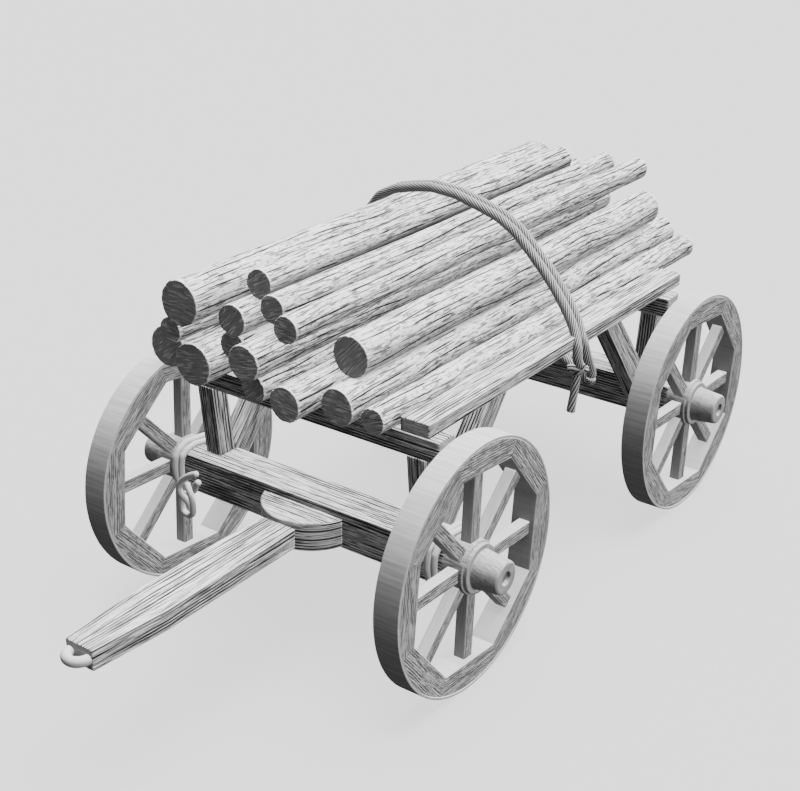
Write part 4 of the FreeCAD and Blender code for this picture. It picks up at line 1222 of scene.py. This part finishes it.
# two courses over the top and down the front of the beam: y from the front axle, z
BOWED = ((0.011, 0.603), (-0.049, 0.609), (-0.091, 0.592), (-0.115, 0.564),
         (-0.121, 0.531), (-0.118, 0.495), (-0.107, 0.464))
SNUG = ((0.016, 0.595), (-0.032, 0.604), (-0.078, 0.598), (-0.109, 0.576),
        (-0.117, 0.539), (-0.117, 0.499), (-0.106, 0.470))


def cord_turn(x, front):
    """One turn of cord: it bows forward over the top front edge and hugs the rest."""
    off = CORD_RADIUS + 0.0006
    bend = CORD_RADIUS + 0.006
    half_depth = BEAM_HALF_DEPTH + off
    bottom, top = BEAM_BOTTOM - off, BEAM_TOP + off

    def quarter(centre_y, centre_z, start):
        angles = [math.radians(a) for a in np.linspace(start, start + 90, 9)]
        return [(x, centre_y + bend * math.cos(a), centre_z + bend * math.sin(a))
                for a in angles]

    path = quarter(FRONT_Y + (half_depth - bend), bottom + bend, -90)
    path += quarter(FRONT_Y + (half_depth - bend), top - bend, 0)
    path += [(x, FRONT_Y + y, z) for y, z in front]
    path += quarter(FRONT_Y - half_depth + bend, bottom + bend, 180)
    path = smooth_loop(np.array(path), 0.004, 7)
    return even(np.concatenate([path, path[:1]]), 0.0045 * FINE)


def cord(mesh, path, seed, cut=True):
    laid(mesh, path, CORD_RADIUS, seed, strands=2, pitch=2.0, depth=0.0, cut=cut, fibres=False,
         around=32)


def build_lashings():
    """Two turns at each end of the beam and a short loose piece at the left."""
    mesh = Skins()
    for x, course in ((-0.636, BOWED), (-0.604, SNUG), (0.636, BOWED), (0.604, SNUG)):
        path = cord_turn(x, course)
        # the ends overlap a little
        cord(mesh, np.concatenate([path, path[1:3]]), int(abs(x) * 1000), cut=False)
    path = at_y(CORD_Y, [(-0.502, 0.0, 0.500), (-0.520, 0.002, 0.482), (-0.536, 0.014, 0.464),
                         (-0.548, 0.024, 0.446), (-0.562, 0.026, 0.425)])
    cord(mesh, smooth_path(path, 0.003), 761)
    place(mesh, "cord_lashings", "cord", "axle_lashings")


# the two hanging cords: x, y from CORD_Y, z
BIGHT_TAIL = ((-0.505, -0.004, 0.537), (-0.546, -0.008, 0.517), (-0.587, -0.010, 0.483),
              (-0.605, -0.010, 0.449), (-0.600, -0.008, 0.421), (-0.585, 0.002, 0.395),
              (-0.574, 0.010, 0.372), (-0.566, 0.012, 0.352))
BIGHT_LOOP = ((-0.572, 0.002, 0.472), (-0.549, -0.012, 0.454), (-0.532, -0.016, 0.424),
              (-0.530, -0.012, 0.380), (-0.541, -0.006, 0.345), (-0.569, -0.002, 0.327),
              (-0.598, 0.0, 0.338), (-0.607, 0.006, 0.369), (-0.602, 0.016, 0.400),
              (-0.597, 0.024, 0.420))


def build_bight():
    mesh = Skins()
    for points, seed in ((BIGHT_TAIL, 767), (BIGHT_LOOP, 773)):
        cord(mesh, smooth_path(at_y(CORD_Y, points), 0.003), seed)
    bight = place(mesh, "cord_bight", "cord", "lashing_bight", body=None)
    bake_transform(bight, "chassis", "lashing_bight", start=(-0.571, CORD_Y, 0.470),
             end=(-0.571, CORD_Y, 0.425))


build_lashings()
build_bight()


# ------------------------------------------- iron parts kept from the model
def finish_iron(node):
    node.data.materials.clear()
    node.data.materials.append(MATERIALS["bearing_iron"])
    for polygon in node.data.polygons:
        polygon.use_smooth = True
    bevel = node.modifiers.new("ease", "BEVEL")
    bevel.width = 0.0008
    bevel.segments = 2
    bevel.limit_method = "ANGLE"
    bevel.angle_limit = math.radians(35)
    bevel.harden_normals = True


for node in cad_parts.values():
    if not node.hide_render:
        finish_iron(node)


# --------------------------------------------------- floor, light and camera
def build_floor(half=60.0):
    data = bpy.data.meshes.new("floor")
    data.from_pydata([(-half, -half, 0), (half, -half, 0), (half, half, 0), (-half, half, 0)],
                     [], [(0, 1, 2, 3)])
    floor = new_object("floor", data)
    material, _, bsdf = new_material("floor_paint")
    bsdf.inputs["Base Color"].default_value = (0.62, 0.62, 0.62, 1)
    bsdf.inputs["Roughness"].default_value = 0.95
    data.materials.append(material)
    floor.visible_diffuse = False
    floor.visible_glossy = False


def sun(name, toward, strength, shadow=False, angle=20):
    """A sun standing in the direction toward; angle is its width in degrees."""
    light = bpy.data.lights.new(name, "SUN")
    light.energy = strength
    light.angle = math.radians(angle)
    light.use_shadow = shadow
    obj = new_object(name, light)
    obj.rotation_mode = "QUATERNION"
    obj.rotation_quaternion = Vector(toward).normalized().to_track_quat("Z", "Y")


def build_world():
    """White light, stronger from above and dimmer from the front."""
    world = bpy.data.worlds.new("studio")
    bpy.context.scene.world = world
    world.use_nodes = True
    tree = world.node_tree
    background = tree.nodes["Background"]
    background.inputs["Color"].default_value = (1, 1, 1, 1)
    direction = add(tree, "ShaderNodeTexCoord").outputs["Generated"]
    split = add(tree, "ShaderNodeSeparateXYZ")
    tree.links.new(direction, split.inputs[0])
    by_height = map_range(tree, split.outputs["Z"], given=(-0.1, 1.0), wanted=(0.09, 0.30))
    by_depth = map_range(tree, split.outputs["Y"], given=(-1.0, 0.3), wanted=(0.52, 1.0))
    light = math_node(tree, "MULTIPLY", by_height, by_depth)
    # to the camera the wall behind is as pale as the floor
    rays = add(tree, "ShaderNodeLightPath")
    brighter = add(tree, "ShaderNodeMath", operation="MAXIMUM")
    wall = math_node(tree, "MULTIPLY", rays.outputs["Is Camera Ray"], 1.25)
    tree.links.new(light, brighter.inputs[0])
    tree.links.new(wall, brighter.inputs[1])
    tree.links.new(brighter.outputs[0], background.inputs["Strength"])


def build_camera():
    """Looks from the front right, down on the cart."""
    lens = bpy.data.cameras.new("camera")
    lens.sensor_fit = "HORIZONTAL"
    lens.sensor_width = 36.0
    lens.lens = 66.27
    lens.clip_start, lens.clip_end = 0.05, 200
    camera = new_object("camera", lens)
    position = Vector((3.173, -4.461, 3.2835))
    yaw, pitch, roll = math.radians(35.53), math.radians(24.66), math.radians(0.84)
    forward = Vector((-math.sin(yaw) * math.cos(pitch), math.cos(yaw) * math.cos(pitch),
                      -math.sin(pitch)))
    level = Vector((math.cos(yaw), math.sin(yaw), 0))
    upright = level.cross(forward)
    right = level * math.cos(roll) + upright * math.sin(roll)
    up = upright * math.cos(roll) - level * math.sin(roll)
    rows = [(right[i], up[i], -forward[i], position[i]) for i in range(3)]
    camera.matrix_world = Matrix((*rows, (0, 0, 0, 1)))
    bpy.context.scene.camera = camera


build_floor()
sun("top", toward=(0.04, 0.42, 1.0), strength=7.0)
sun("side", toward=(1.0, 0.03, 0.55), strength=1.5)
sun("far_side", toward=(-1.0, 0.35, 0.25), strength=0.7)
sun("back", toward=(-0.1, 1.0, 0.25), strength=0.6)
sun("soft_key", toward=(0.10, 0.15, 1.0), strength=2.2, shadow=True, angle=50)
build_world()
build_camera()
